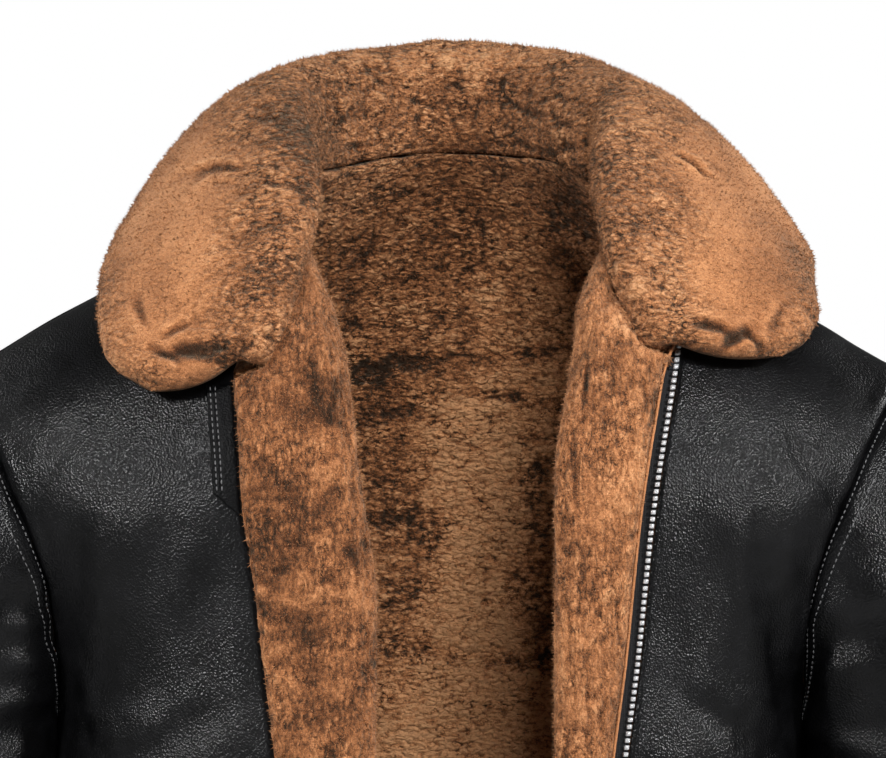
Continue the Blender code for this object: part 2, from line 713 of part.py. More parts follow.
def add_box(name, size, place, finish, collection, bevel=0.0):
    bpy.ops.mesh.primitive_cube_add(size=1.0, location=place)
    made = bpy.context.object
    made.name = name
    made.data.transform(Matrix.Diagonal((*size, 1.0)))
    made.data.materials.append(finish)
    for old in made.users_collection:
        old.objects.unlink(made)
    collection.objects.link(made)
    if bevel:
        edge = made.modifiers.new("edge", "BEVEL")
        edge.width = bevel
        edge.segments = 2
    return made


def add_rod(name, radius, length, place, finish, collection, sides=20):
    """A round bar along X."""
    bpy.ops.mesh.primitive_cylinder_add(vertices=sides, radius=radius, depth=length, location=place)
    made = bpy.context.object
    made.name = name
    made.rotation_euler = (0.0, pi / 2, 0.0)
    made.data.materials.append(finish)
    for old in made.users_collection:
        old.objects.unlink(made)
    collection.objects.link(made)
    return made


def combine(target, other, operation, hidden):
    """Join a shape to another, or cut it away, and keep the second as a hidden cutter."""
    step = target.modifiers.new(operation.lower(), "BOOLEAN")
    step.operation = operation
    step.solver = "EXACT"
    step.object = other
    other.hide_render = True
    other.display_type = "WIRE"
    for old in other.users_collection:
        old.objects.unlink(other)
    hidden.objects.link(other)


def place_hardware(side_name, z):
    """An empty on the zip's line at a level, turned square to the coat's form there."""
    side = SIDES[side_name]
    x = side * (float(opening(side_name + "_edge", z)) - 0.0021)
    step = 0.002
    slope = (form_y(x + step, z, "front") - form_y(x - step, z, "front")) / (2 * step)
    spot = bpy.data.objects.new("zip_place_" + side_name, None)
    spot.location = (x, float(form_y(x, z, "front")) - SEAM_GAP, z)
    spot.rotation_euler = (0.0, 0.0, atan2(float(slope), 1.0))
    return spot


def make_hardware(metal, collection, hidden):
    """Slider with its bail and pull tab, and the retainer box, on the right; the pin on the left."""
    spot = place_hardware("right", HEM_Z + 0.027)
    collection.objects.link(spot)
    bail_y, bail_z = -0.0078, 0.0030
    body = add_box("zip_slider", (0.0085, 0.0036, 0.0120), (0, -0.0022, 0), metal, collection, 0.0008)
    pieces = [body]
    for n, sideways in enumerate((-1, 1)):
        leg = add_box(
            f"bail_leg_{n}", (0.0011, 0.0050, 0.0030), (sideways * 0.0031, -0.0056, bail_z), metal, collection
        )
        combine(body, leg, "UNION", hidden)
        pieces.append(leg)
    bar = add_rod("bail_bar", 0.0007, 0.0060, (0, bail_y + 0.0006, bail_z), metal, collection, 12)
    combine(body, bar, "UNION", hidden)
    pieces.append(bar)
    bar_y = bail_y + 0.0006
    pull = add_rod("zip_pull", 0.0019, 0.0034, (0, bar_y, bail_z), metal, collection)
    neck = add_box("pull_neck", (0.0034, 0.0013, 0.0060), (0, bar_y, bail_z - 0.0042), metal, collection)
    plate_z = bail_z - 0.0060 - PULL_LENGTH / 2
    plate = add_box("pull_plate", (0.0066, 0.0013, PULL_LENGTH), (0, bar_y, plate_z), metal, collection)
    hole = add_rod("pull_hole", 0.00105, 0.0200, (0, bar_y, bail_z), metal, collection, 12)
    combine(pull, neck, "UNION", hidden)
    combine(pull, plate, "UNION", hidden)
    combine(pull, hole, "DIFFERENCE", hidden)
    box_z = -0.0060 - SEAM_GAP - 0.0055
    box = add_box("zip_box", (0.0070, 0.0024, 0.0110), (0, -0.0016, box_z), metal, collection, 0.0006)
    pieces += [pull, neck, plate, hole, box]
    for piece in pieces:
        piece.parent = spot
    low_spot = place_hardware("left", HEM_Z + 0.013)
    collection.objects.link(low_spot)
    pin = add_box("zip_pin", (0.0024, 0.0018, 0.0170), (0, -0.0001, 0), metal, collection, 0.0004)
    pin.parent = low_spot


def main():
    for old in list(bpy.data.objects):
        bpy.data.objects.remove(old, do_unlink=True)
    coat = bpy.data.collections.new("leather_coat")
    cutters = bpy.data.collections.new("cutters")
    for collection in (coat, cutters):
        bpy.context.scene.collection.children.link(collection)
    leather = material("black_leather", (0.012, 0.012, 0.013), 0.42)
    wool = material("ginger_wool", (0.46, 0.20, 0.075), 0.95)
    tape = material("zip_tape", (0.010, 0.010, 0.011), 0.85)
    metal = material("zip_metal", (0.62, 0.62, 0.63), 0.30, 1.0)
    edges = make_panels(leather, coat)
    make_collar(wool, coat)
    for side_name in SIDES:
        make_sleeve(side_name, edges[side_name], leather, coat)
        make_flap(side_name, wool, coat)
        make_zip(side_name, tape, metal, coat)
    make_tab(leather, coat)
    make_hardware(metal, coat, cutters)


main()
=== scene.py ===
# %% [markdown]
# # A shearling coat, worn open
# The coat is one skin turned leather side out, with its wool left on as the lining. It is dressed here from a
# fixed frame of plain solids. The frame gives the sizes, and every new surface is worked out again from the
# same form, only finer, so each piece lands on its solid.

from math import cos, pi, radians, sin

import bmesh
import bpy
import numpy as np
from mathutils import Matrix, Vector


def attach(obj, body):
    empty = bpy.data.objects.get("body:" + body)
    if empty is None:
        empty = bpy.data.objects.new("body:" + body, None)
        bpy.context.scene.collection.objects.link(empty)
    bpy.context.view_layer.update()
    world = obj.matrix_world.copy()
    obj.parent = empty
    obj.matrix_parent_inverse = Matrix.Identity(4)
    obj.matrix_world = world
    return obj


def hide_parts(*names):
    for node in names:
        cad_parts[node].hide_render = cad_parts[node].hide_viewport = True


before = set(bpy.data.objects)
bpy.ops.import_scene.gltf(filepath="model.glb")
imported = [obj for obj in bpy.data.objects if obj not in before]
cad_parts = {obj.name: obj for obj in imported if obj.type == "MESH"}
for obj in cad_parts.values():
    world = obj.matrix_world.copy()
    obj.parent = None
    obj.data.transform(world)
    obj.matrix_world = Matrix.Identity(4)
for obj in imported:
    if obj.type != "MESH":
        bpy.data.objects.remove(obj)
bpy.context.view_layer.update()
BODY = "coat"
MM = 0.001
SIDES = {"left": 1.0, "right": -1.0}

# %% [markdown]
# ## The coat's form
# A coat on a figure is a set of level sections: a flattened oval that widens to the shoulders. Short tables
# hold the half width and the depth at a few levels, and a smooth curve fills in between. Above the chest the
# sections shrink towards the shoulder line, which is what rounds the shoulders.

# %% Sizes and form tables
HEM_Z = -0.740
UNDERARM_Z = -0.315
SHOULDER_Z = -0.124
SKIN_WALL = 0.007
COLLAR_WALL = 0.012
SEAM_GAP = 0.0003
HANG_SHIFT = 0.011
HANG_REACH = 0.200
SIDE_POWER = 2.4
ROUND_HEIGHT = {"front": 0.150, "back": 0.130}

BODY_COLUMNS = ("z", "half_width", "front_depth", "back_depth")
BODY_ROWS = (
    (-740, 215.0, 128, 124), (-600, 210.0, 130, 121), (-450, 206.5, 133, 122), (-360, 206.8, 137, 126),
    (-315, 207.5, 138, 128), (-300, 208.6, 138, 129), (-270, 216.6, 138, 131), (-240, 229.7, 138, 133),
    (-215, 244.4, 138, 134), (-190, 259.0, 137, 134), (-168, 268.8, 134, 133), (-147, 273.6, 131, 131),
    (-124, 275.5, 128, 128), (-60, 278.0, 124, 123), (40, 280.0, 120, 120),
)
RIDGE_COLUMNS = ("x", "z")
RIDGE_ROWS = (
    (-45, 15.0), (0, 38.0), (45, 15.0), (85, -16.0), (130, -46.0), (180, -76.5), (210, -92.5), (237, -109.0),
    (262, -124.0), (285, -138.0),
)
ARMHOLE_COLUMNS = ("z", "x")
ARMHOLE_ROWS = (
    (-315, 207.5), (-300, 207.5), (-270, 208.5), (-240, 212.5), (-215, 220.0), (-190, 231.0), (-168, 240.0),
    (-147, 250.0), (-124, 262.0),
)
OPENING_COLUMNS = ("z", "left_edge", "right_edge", "left_flap", "right_flap")
OPENING_ROWS = (
    (-740, 64.0, 64.0, 22.0, 20.0), (-560, 77.5, 75.5, 38.0, 31.0), (-430, 89.0, 87.0, 50.0, 38.0),
    (-334, 98.5, 96.0, 57.0, 41.0), (-280, 105.5, 102.5, 57.5, 40.0), (-240, 109.5, 107.5, 57.5, 40.5),
    (-200, 113.8, 113.8, 57.0, 46.0), (-165, 119.0, 116.2, 58.0, 51.0), (-140, 123.2, 118.0, 62.5, 53.5),
    (-112, 127.5, 119.4, 68.5, 58.0), (-84, 131.0, 120.0, 71.5, 66.0), (-55, 134.0, 121.0, 84.0, 78.0),
)
NECK_COLUMNS = ("t", "left_x", "left_z", "right_x", "right_z")
NECK_POINT_ROW = 4
NECK_ROWS = (
    (-0.2, -34, -2.0, -38, -2.0), (0.0, 2, 0.0, -2, 0.0), (0.2, 38, -2.0, 34, -2.0), (0.4, 70, -9.0, 66, -8.5),
    (0.5, 90, None, 86, None), (0.65, 99, -48.0, 95, -50.0), (0.8, 110, -78.0, 104, -82.0),
    (1.0, 127.5, -112.0, 119.4, -122.0),
)
COLLAR_COLUMNS = ("t", "crest_x", "crest_y", "crest_z", "edge_x", "edge_y", "edge_z", "camber")
COLLAR_ROWS = (
    (-1.00, -114, -125, -116, -160, -116, -133, -6), (-0.90, -101, -117, -87, -180, -99, -119, 1),
    (-0.80, -92, -102, -54, -187, -76, -100, 6), (-0.65, -88, -62, -7, -184, -26, -70, 10),
    (-0.50, -97, 8, 29, -168, 30, -53, 12), (-0.40, -79, 44, 39, -138, 88, -54, 9),
    (-0.20, -42, 80, 47, -72, 126, -54, 5), (0.00, 2, 91, 50, 2, 133, -50, 4),
    (0.20, 46, 79, 47, 76, 125, -53, 5), (0.40, 82, 42, 37, 150, 88, -58, 9),
    (0.50, 98, 6, 26, 186, 30, -64, 11), (0.65, 93, -54, -8, 195, -20, -76, 9),
    (0.80, 98, -92, -52, 197, -53, -92, 6), (0.90, 108, -106, -84, 193, -70, -103, 1),
    (1.00, 121, -112, -107, 179, -88, -114, -6),
)
SLEEVE_COLUMNS = ("z", "centre_x", "centre_y", "half_width", "half_depth")
SLEEVE_ROWS = (
    (-712, 267.0, -47, 46, 51), (-640, 268.0, -33, 49, 55), (-570, 269.0, -19, 53, 60),
    (-500, 270.0, -8, 57, 66), (-430, 271.5, -1, 61, 71), (-360, 273.5, 3, 64, 75),
)
FOLD_ROWS = (
    (-385, 70, 22, 60, 3.5), (-445, 105, 24, 70, 4.5), (-500, 80, 22, 75, 5.5), (-550, 115, 22, 65, 4.5),
    (-605, 60, 24, 60, 3.5), (-665, 95, 22, 80, 3.5), (-480, 265, 26, 55, 3.0), (-585, 250, 26, 55, 3.0),
)
print("levels:", len(BODY_ROWS), "collar sections:", len(COLLAR_ROWS))

# %% [markdown]
# A table is read by column name. `smooth` runs a curve through its points with matching slopes, so a surface
# drawn from it has no corners.

# %% Curves through the tables
def column(table, columns, name):
    """One named column of a table in metres, or as it stands where it is no length."""
    place = columns.index(name)
    scale = 1.0 if name == "t" else MM
    return np.array([row[place] for row in table], dtype=float) * scale


def smooth(x, y, at):
    """Cubic pieces through the points (x, y): each piece starts and ends with the points' own slopes."""
    at = np.clip(np.asarray(at, dtype=float), x[0], x[-1])
    slope = np.gradient(y, x)
    i = np.clip(np.searchsorted(x, at) - 1, 0, len(x) - 2)
    step = x[i + 1] - x[i]
    s = (at - x[i]) / step
    start = y[i] * (1 + 2 * s) * (1 - s) ** 2 + slope[i] * step * s * (1 - s) ** 2
    end = y[i + 1] * s * s * (3 - 2 * s) - slope[i + 1] * step * s * s * (1 - s)
    return start + end


def table_curve(table, columns, x_name, y_name, at):
    return smooth(column(table, columns, x_name), column(table, columns, y_name), at)


def body_form(name, z):
    return table_curve(BODY_ROWS, BODY_COLUMNS, "z", name, z)


def opening(name, z):
    return table_curve(OPENING_ROWS, OPENING_COLUMNS, "z", name, z)


def ridge(distance):
    return table_curve(RIDGE_ROWS, RIDGE_COLUMNS, "x", "z", distance)


print("half width at the underarm:", round(float(body_form("half_width", UNDERARM_Z)), 4))

# %% [markdown]
# The body hangs a little to one side of its collar, as the photo shows, so a place is turned into a distance
# from the body's own middle before it is looked up. `form_y` is then the whole outside of the coat.

# %% The outer form
def hang(x):
    """Sideways shift: a half cosine from nothing at the middle to the full shift at the side."""
    return HANG_SHIFT * (0.5 - 0.5 * np.cos(pi * np.minimum(np.abs(x) / HANG_REACH, 1.0)))


def body_x(x):
    return np.abs(x + hang(x))


def placed_x(distance, side):
    """The inverse of body_x, found by repeating x = side * distance - hang(x)."""
    x = side * distance
    for _ in range(12):
        x = side * distance - hang(x)
    return x


def form_y(x, z, face):
    """Superellipse section: depth times (1 - share^p)^(1/p), rounded in near the shoulder by a quarter circle."""
    down = np.clip((ridge(body_x(x)) - z) / ROUND_HEIGHT[face], 0.0, 1.0)
    rise = np.sqrt(1.0 - (1.0 - down) ** 2)
    share = np.clip(body_x(x) / body_form("half_width", z), 0.0, 1.0)
    depth = body_form(face + "_depth", z) * rise * (1.0 - share ** SIDE_POWER) ** (1.0 / SIDE_POWER)
    return -depth if face == "front" else depth


def turn_of(x, z):
    share = np.clip(body_x(x) / body_form("half_width", z), 0.0, 1.0)
    return np.arcsin(share ** (SIDE_POWER / 2.0))


def x_of(turn, z, side):
    reach = body_form("half_width", z) * np.abs(np.sin(turn)) ** (2.0 / SIDE_POWER)
    return placed_x(reach, side)


def unit(vectors):
    return vectors / np.maximum(np.linalg.norm(vectors, axis=-1, keepdims=True), 1e-12)


def grid_normals(points):
    return unit(np.cross(np.gradient(points, axis=0), np.gradient(points, axis=1)))


print("chest depth:", round(float(-form_y(0.1, -0.25, "front")), 4))

# %% [markdown]
# ## Panels as grids
# Each panel is a grid of points: rows from the hem up, columns from one seam to the other. The grid is filled
# from its four edges, which keeps its columns parallel to the seams, the way leather is cut.

# %% How finely each grid is drawn
ARM_ROWS = 60
LOW_ROWS = 100
EDGE_ROWS = 30
FRONT_COLS = 54
BACK_NECK_COLS = 60
BACK_SHOULDER_COLS = 46


def drop_shares(arm_rows, low_rows):
    """Shares of the height from the hem: closer together towards the shoulder, by a cosine."""
    height = SHOULDER_Z - HEM_Z
    arm = SHOULDER_Z - UNDERARM_Z
    turn = np.linspace(0, pi / 2, arm_rows + 1)
    upper = arm * (0.65 * (1 - np.cos(turn)) + 0.35 * turn / (pi / 2))
    lower = np.linspace(arm, height, low_rows + 1)[1:]
    return 1.0 - np.concatenate([upper, lower])[::-1] / height


def armhole_turn(z):
    reach = table_curve(ARMHOLE_ROWS, ARMHOLE_COLUMNS, "z", "x", z)
    share = np.clip(reach / body_form("half_width", z), 0.0, 1.0)
    return np.where(z <= UNDERARM_Z + 1e-6, pi / 2, np.arcsin(share ** (SIDE_POWER / 2.0)))


def neck_seam(t):
    """Neck seam on the form: t from -1, the right front end, by 0, the back, to 1, the left front end."""
    t = np.atleast_1d(np.asarray(t, dtype=float))
    share = column(NECK_ROWS, NECK_COLUMNS, "t")
    found = []
    for side_name, side in SIDES.items():
        x = column(NECK_ROWS, NECK_COLUMNS, side_name + "_x")
        z = column(NECK_ROWS, NECK_COLUMNS, side_name + "_z")
        z[NECK_POINT_ROW] = ridge(body_x(side * x[NECK_POINT_ROW]))
        found.append((side * smooth(share, x, np.abs(t)), smooth(share, z, np.abs(t))))
    x = np.where(t >= 0, found[0][0], found[1][0])
    z = np.where(t >= 0, found[0][1], found[1][1])
    z = np.minimum(z, ridge(body_x(x)))
    y = np.where(np.abs(t) <= 0.5, form_y(x, z, "back"), form_y(x, z, "front"))
    return np.stack([x, y, z], axis=-1)


def shoulder_seam(side, count):
    start = body_x(neck_seam(0.5 * side)[0, 0])
    end = column(ARMHOLE_ROWS, ARMHOLE_COLUMNS, "x")[-1]
    reach = np.linspace(start, end, count + 1)[1:]
    return placed_x(reach, side), ridge(reach)


def coons(first, last, low, high, u, high_share):
    """Straight across between two sides, plus how far the low and high curves stray from straight."""
    across = (1 - u)[None, :] * first[:, None] + u[None, :] * last[:, None]
    stray_low = low - ((1 - u) * low[0] + u * low[-1])
    stray_high = high - ((1 - u) * high[0] + u * high[-1])
    return across + (1 - high_share)[:, None] * stray_low + high_share[:, None] * stray_high


print("rows in a panel:", len(drop_shares(ARM_ROWS, LOW_ROWS)))

# %% The two fronts
def front_panel(side_name, arm_rows, low_rows, edge_rows, cols):
    """Grid of one front: its first column is the straight edge, then the neckline; its last is the side."""
    side = SIDES[side_name]
    v = drop_shares(arm_rows, low_rows)
    neck = neck_seam(side * np.linspace(1.0, 0.5, arm_rows - edge_rows + 1))
    split_z = -0.300
    chest_z = np.linspace(split_z, neck[0, 2], edge_rows + 1)[:-1]
    straight_z = np.concatenate([np.linspace(HEM_Z, split_z, low_rows + 1)[:-1], chest_z])
    edge_x = np.concatenate([side * opening(side_name + "_edge", straight_z), neck[:, 0]])
    edge_z = np.concatenate([straight_z, neck[:, 2]])
    side_z = HEM_Z + v * (SHOULDER_Z - HEM_Z)
    ridge_x, ridge_z = shoulder_seam(side, cols)
    top_x = np.concatenate([edge_x[-1:], ridge_x])
    top_z = np.concatenate([edge_z[-1:], ridge_z])
    u = np.linspace(0, 1, cols + 1)
    z = coons(edge_z, side_z, np.full(len(u), HEM_Z), top_z, u, v ** 6)
    edge_turn = turn_of(edge_x, edge_z)
    side_turn = armhole_turn(side_z)
    low_turn = edge_turn[0] + (side_turn[0] - edge_turn[0]) * u
    turn = coons(edge_turn, side_turn, low_turn, turn_of(top_x, top_z), u, v ** 6)
    z = np.minimum(z, ridge(body_x(x_of(turn, z, side))))
    z[-1] = top_z
    x = x_of(turn, z, side)
    x[:, 0] = edge_x
    y = form_y(x, z, "front")
    y[z[:, -1] <= UNDERARM_Z + 1e-6, -1] = 0.0
    y[-1] = 0.0
    points = np.stack([x, y - SEAM_GAP, z], axis=-1)
    return points if side > 0 else points[:, ::-1]


def back_panel(v, neck_cols, shoulder_cols):
    """Grid of the back: its columns run down from even steps along the shoulders and the neck."""
    right_x, right_z = shoulder_seam(-1.0, shoulder_cols)
    left_x, left_z = shoulder_seam(1.0, shoulder_cols)
    neck = neck_seam(np.linspace(-0.5, 0.5, neck_cols + 1))
    top_x = np.concatenate([right_x[::-1], neck[:, 0], left_x])
    top_z = np.concatenate([right_z[::-1], neck[:, 2], left_z])
    u = np.abs(np.cumsum(np.gradient(top_x)))
    u = (u - u[0]) / (u[-1] - u[0])
    z = HEM_Z + v[:, None] * (top_z[None, :] - HEM_Z)
    side_turn = armhole_turn(z[:, -1])
    top_turn = np.sign(top_x) * turn_of(top_x, top_z)
    turn = coons(-side_turn, side_turn, side_turn[0] * (2 * u - 1), top_turn, u, v ** 3)
    x = np.where(turn < 0, x_of(turn, z, -1.0), x_of(turn, z, 1.0))
    y = form_y(x, z, "back")
    low = z[:, -1] <= UNDERARM_Z + 1e-6
    y[low, 0] = 0.0
    y[low, -1] = 0.0
    y[-1, :shoulder_cols + 1] = 0.0
    y[-1, -shoulder_cols - 1:] = 0.0
    return np.stack([x, y, z], axis=-1)


def panel_normals(points, face, seam_columns):
    """Outward normals of a panel, kept square to its side and shoulder seams."""
    normals = grid_normals(points)
    outward = -1.0 if face == "front" else 1.0
    if normals[len(normals) // 2, normals.shape[1] // 2, 1] * outward < 0:
        normals = -normals
    low = points[:, seam_columns[0], 2] <= UNDERARM_Z + 1e-6
    for c in seam_columns:
        normals[low, c, 1] = 0.0
    on_ridge = np.abs(points[-1, :, 1]) <= SEAM_GAP * 1.5
    normals[-1, on_ridge, 1] = 0.0
    return unit(normals)


fronts = {name: front_panel(name, ARM_ROWS, LOW_ROWS, EDGE_ROWS, FRONT_COLS) for name in SIDES}
back = back_panel(drop_shares(ARM_ROWS, LOW_ROWS), BACK_NECK_COLS, BACK_SHOULDER_COLS)
print("front grid:", fronts["left"].shape[:2], "back grid:", back.shape[:2])

# %% [markdown]
# ## Sleeves
# A set-in sleeve starts on the armhole seam and bends down into level ovals. Each line of points is a cubic
# curve that leaves the seam sideways at the top of the shoulder and straight down at the underarm.

# %% Sleeve grids
HEAD_ROWS = 30
SLEEVE_TUCK = 0.0012
SLEEVE_ROWS_DOWN = 100


def fold_depth(z, turn):
    """Sum of soft troughs: a bell curve up the sleeve times a bell curve round it."""
    depth = np.zeros(np.broadcast(z, turn).shape)
    for level, at, height, reach, deep in FOLD_ROWS:
        up = (z - level * MM) / (height * MM)
        around = (np.degrees(turn) - at) / reach
        depth += deep * MM * np.exp(-up ** 2) * np.exp(-around ** 2)
    return depth


def sleeve_rings(z, turn, side):
    """Level ovals: centre plus half width times cosine and half depth times sine, less the folds."""
    cx, cy, rx, ry = (table_curve(SLEEVE_ROWS, SLEEVE_COLUMNS, "z", name, z) for name in SLEEVE_COLUMNS[1:])
    fold = fold_depth(z, turn)
    x = cx + (rx - fold) * np.cos(turn)
    y = cy - (ry - fold) * np.sin(turn)
    return np.stack([placed_x(x, side), y, np.broadcast_to(z, x.shape)], axis=-1)


def sleeve_grid(side_name, front, back, arm_rows, head_rows, down_rows):
    """Rows from the armhole to the cuff, columns round the sleeve from the shoulder by the front."""
    side = SIDES[side_name]
    outer_column = -1 if side > 0 else 0
    front_edge = front[-arm_rows - 1:, outer_column]
    back_edge = back[-arm_rows - 1:, outer_column]
    seam = np.concatenate([front_edge[::-1], back_edge[1:-1]])
    turn = np.linspace(0, 2 * pi, 2 * arm_rows, endpoint=False)
    for k in (0, arm_rows):
        seam[k, 1] = 0.0
    down = ((1 - np.cos(turn)) / 2)[:, None]
    leave = (1 - down) * np.array([0.84, 0, -0.54]) + down * np.array([0.10, 0, -1.0])
    leave = unit((leave + np.sin(turn)[:, None] * np.array([0.0, -0.10, 0.0])) * np.array([side, 1, 1]))
    top_z = SLEEVE_ROWS[-1][0] * MM
    first = sleeve_rings(np.array(top_z), turn, side)
    start = seam - leave * SLEEVE_TUCK
    length = np.linalg.norm(first - start, axis=1)[:, None] * 1.05
    s = np.linspace(0, 1, head_rows + 1)[:-1][:, None, None]
    head = start * (1 + 2 * s) * (1 - s) ** 2 + first * s * s * (3 - 2 * s)
    head = head + leave * length * s * (1 - s) ** 2 + np.array([0, 0, 1.0]) * length * s * s * (1 - s)
    z = np.linspace(top_z, SLEEVE_ROWS[0][0] * MM, down_rows + 1)[:, None]
    return np.concatenate([head, sleeve_rings(z, turn[None, :], side)])


def tube_normals(rings):
    """Outward normals of a tube of rings that close on themselves."""
    wrapped = np.concatenate([rings[:, -1:], rings, rings[:, :1]], axis=1)
    normals = grid_normals(wrapped)[:, 1:-1]
    centre = rings.mean(axis=1, keepdims=True)
    return normals if np.mean(np.sum(normals * (rings - centre), axis=-1)) > 0 else -normals


sleeves = {
    name: sleeve_grid(name, fronts[name], back, ARM_ROWS, HEAD_ROWS, SLEEVE_ROWS_DOWN) for name in SIDES
}
print("sleeve grid:", sleeves["left"].shape[:2])

# %% [markdown]
# ## Collar and storm flaps
# The collar is a strip of the same skin with long wool. Its cut across rises from the neck seam, rolls over
# and falls on the shoulders: two cubic curves. The wool is a second surface a pile's length away, which is
# rounded off at the collar's free edges so that the wool closes round them.

# %% The collar's skin side, and how the wool rounds its edges
COLLAR_PLACES = 440
STAND_STEPS = 40
FALL_STEPS = 90
EDGE_REACH = 0.0045


def bezier(points, s):
    a, b, c, d = (p[:, None, :] for p in points)
    s = s[None, :, None]
    return a * (1 - s) ** 3 + 3 * b * s * (1 - s) ** 2 + 3 * c * s * s * (1 - s) + d * s ** 3


def collar_skin(t, stand_steps, fall_steps):
    """Skin side of the collar: a cubic up from the neck seam, then a cubic over the roll and down."""
    base = neck_seam(t)
    crest, edge = (
        np.stack([table_curve(COLLAR_ROWS, COLLAR_COLUMNS, "t", part + axis, t) for axis in "xyz"], axis=-1)
        for part in ("crest_", "edge_")
    )
    camber = table_curve(COLLAR_ROWS, COLLAR_COLUMNS, "t", "camber", t)[:, None]
    side = np.where(t >= 0, 1.0, -1.0)
    front = np.clip((np.abs(t) - 0.45) / 0.55, 0, 1)[:, None]
    front_up = np.stack([-0.72 * side, np.full(len(t), -0.30), np.full(len(t), 0.62)], axis=-1)
    up = unit((1 - front) * np.array([0, 0, 1.0]) + front * front_up)
    out = unit((edge - crest) * np.array([1, 1, 0]))
    stand = np.linalg.norm(crest - base, axis=-1, keepdims=True)
    fall = np.linalg.norm(edge - crest, axis=-1, keepdims=True)
    lift = unit(out + np.array([0, 0, 1.0]))
    base = base + up * SEAM_GAP * 1.5
    rising = (base, base + up * stand * 0.45, crest - out * stand * 0.30, crest)
    falling = (crest, crest + out * fall * 0.16, edge + (crest - edge) * 0.5 + lift * camber * 2.0, edge)
    low = bezier(rising, np.linspace(0, 1, stand_steps + 1))
    high = bezier(falling, np.linspace(0, 1, fall_steps + 1)[1:])
    return np.concatenate([low, high], axis=1)


def round_off(distance, radius):
    """Quarter circle: 0 at the edge, 1 from a radius in."""
    return np.sqrt(1.0 - (1.0 - np.clip(distance / radius, 0, 1)) ** 2)


def along_rows(points):
    """Distance along each row of a grid, from its first point."""
    step = np.linalg.norm(np.diff(points, axis=1), axis=-1)
    return np.concatenate([np.zeros((len(points), 1)), np.cumsum(step, axis=1)], axis=1)


collar_t = np.linspace(-1, 1, COLLAR_PLACES + 1)
collar_in = collar_skin(collar_t, STAND_STEPS, FALL_STEPS)
collar_out = grid_normals(collar_in)
if collar_out[COLLAR_PLACES // 2, 0, 1] > 0:
    collar_out = -collar_out
run = along_rows(collar_in)
print("collar cut: about", round(float(run[:, -1].mean()), 3), "deep")

# %% [markdown]
# A storm flap is one cut across, carried up the front edge. The same table of depths as the solid gives
# its shape, but here a smooth closed curve runs through it, so the flap looks rolled.

# %% Storm flap sections
FLAP_OUTLINE = {
    "left": (
        ("flange", 0.0, 3.2), ("flange", 1.0, 3.2), ("roll", 0.9, -1.7), ("roll", 4.2, -5.0), ("roll", 12.0, -6.6),
        ("inner", 15.0, -6.8), ("inner", 8.0, -5.4), ("inner", 2.0, -1.6), ("inner", 0.0, 3.5),
        ("inner", 2.2, 8.2), ("inner", 9.0, 10.8), ("roll", 13.0, 10.6), ("roll", 2.0, 9.0), ("flange", 0.0, 7.2),
    ),
    "right": (
        ("flange", 0.0, 3.2), ("flange", 1.0, 3.2), ("lip", 0.85, -1.8), ("lip", 0.02, -2.7), ("lip", 0.10, -4.9),
        ("roll", 4.0, -6.6), ("inner", 13.0, -6.9), ("inner", 7.0, -5.4), ("inner", 1.6, -1.6), ("inner", 0.0, 3.5),
        ("inner", 2.2, 8.2), ("inner", 9.0, 10.8), ("roll", 10.0, 10.6), ("flange", 0.0, 7.2),
    ),
}
LIP_ENDS_Z = -0.655
FLANGE_LENGTH = {"left": 0.0086, "right": 0.0050}
SLIDER_ROOM = 0.0086
COLLAR_FOLD_REACH = 0.0190
COLLAR_END_Z = {"left": -0.1185, "right": -0.1290}
FLAP_TIP_Z = {"left": -0.064, "right": -0.070}
FLAP_ROWS = 330
FLAP_ROUND = 72


def on_form(x, z, depth):
    """A point set in from the front's outer form by a depth, square to the form."""
    step = 0.001
    slope_x = (form_y(x + step, z, "front") - form_y(x - step, z, "front")) / (2 * step)
    slope_z = (form_y(x, z + step, "front") - form_y(x, z - step, "front")) / (2 * step)
    inward = unit(np.stack([-slope_x, np.ones_like(slope_x), -slope_z], axis=-1))
    return np.stack([x, form_y(x, z, "front") - SEAM_GAP, z], axis=-1) + inward * depth[..., None]


def flange_length(side_name, z):
    low = np.clip((z - HEM_Z - 0.050) / 0.060, 0.0, 1.0)
    return SLIDER_ROOM + (FLANGE_LENGTH[side_name] - SLIDER_ROOM) * low


def flap_start(side_name, z):
    """Distance of a storm flap's outer edge in from the leather's: none below the collar, more under it."""
    neck = neck_seam(SIDES[side_name] * np.linspace(0.5, 1.0, 41))
    neck_x = np.interp(z, neck[::-1, 2], np.abs(neck[::-1, 0]))
    under_collar = opening(side_name + "_edge", z) - neck_x + COLLAR_FOLD_REACH
    blend_up = np.clip((z - COLLAR_END_Z[side_name]) / 0.006, 0, 1)
    return 0.0008 + blend_up * (under_collar - 0.0008)


def closed_curve(points, count):
    """Smooth closed curve through rows of points: cubic pieces whose slopes come from their neighbours."""
    n = points.shape[1]
    place = np.arange(count) * n / count
    i = place.astype(int)
    s = (place - i)[None, :, None]
    a, b, c, d = (points[:, (i + k) % n] for k in (-1, 0, 1, 2))
    start, end = (c - a) / 2, (d - b) / 2
    blend = b * (1 + 2 * s) * (1 - s) ** 2 + start * s * (1 - s) ** 2
    return blend + c * s * s * (3 - 2 * s) - end * s * s * (1 - s)


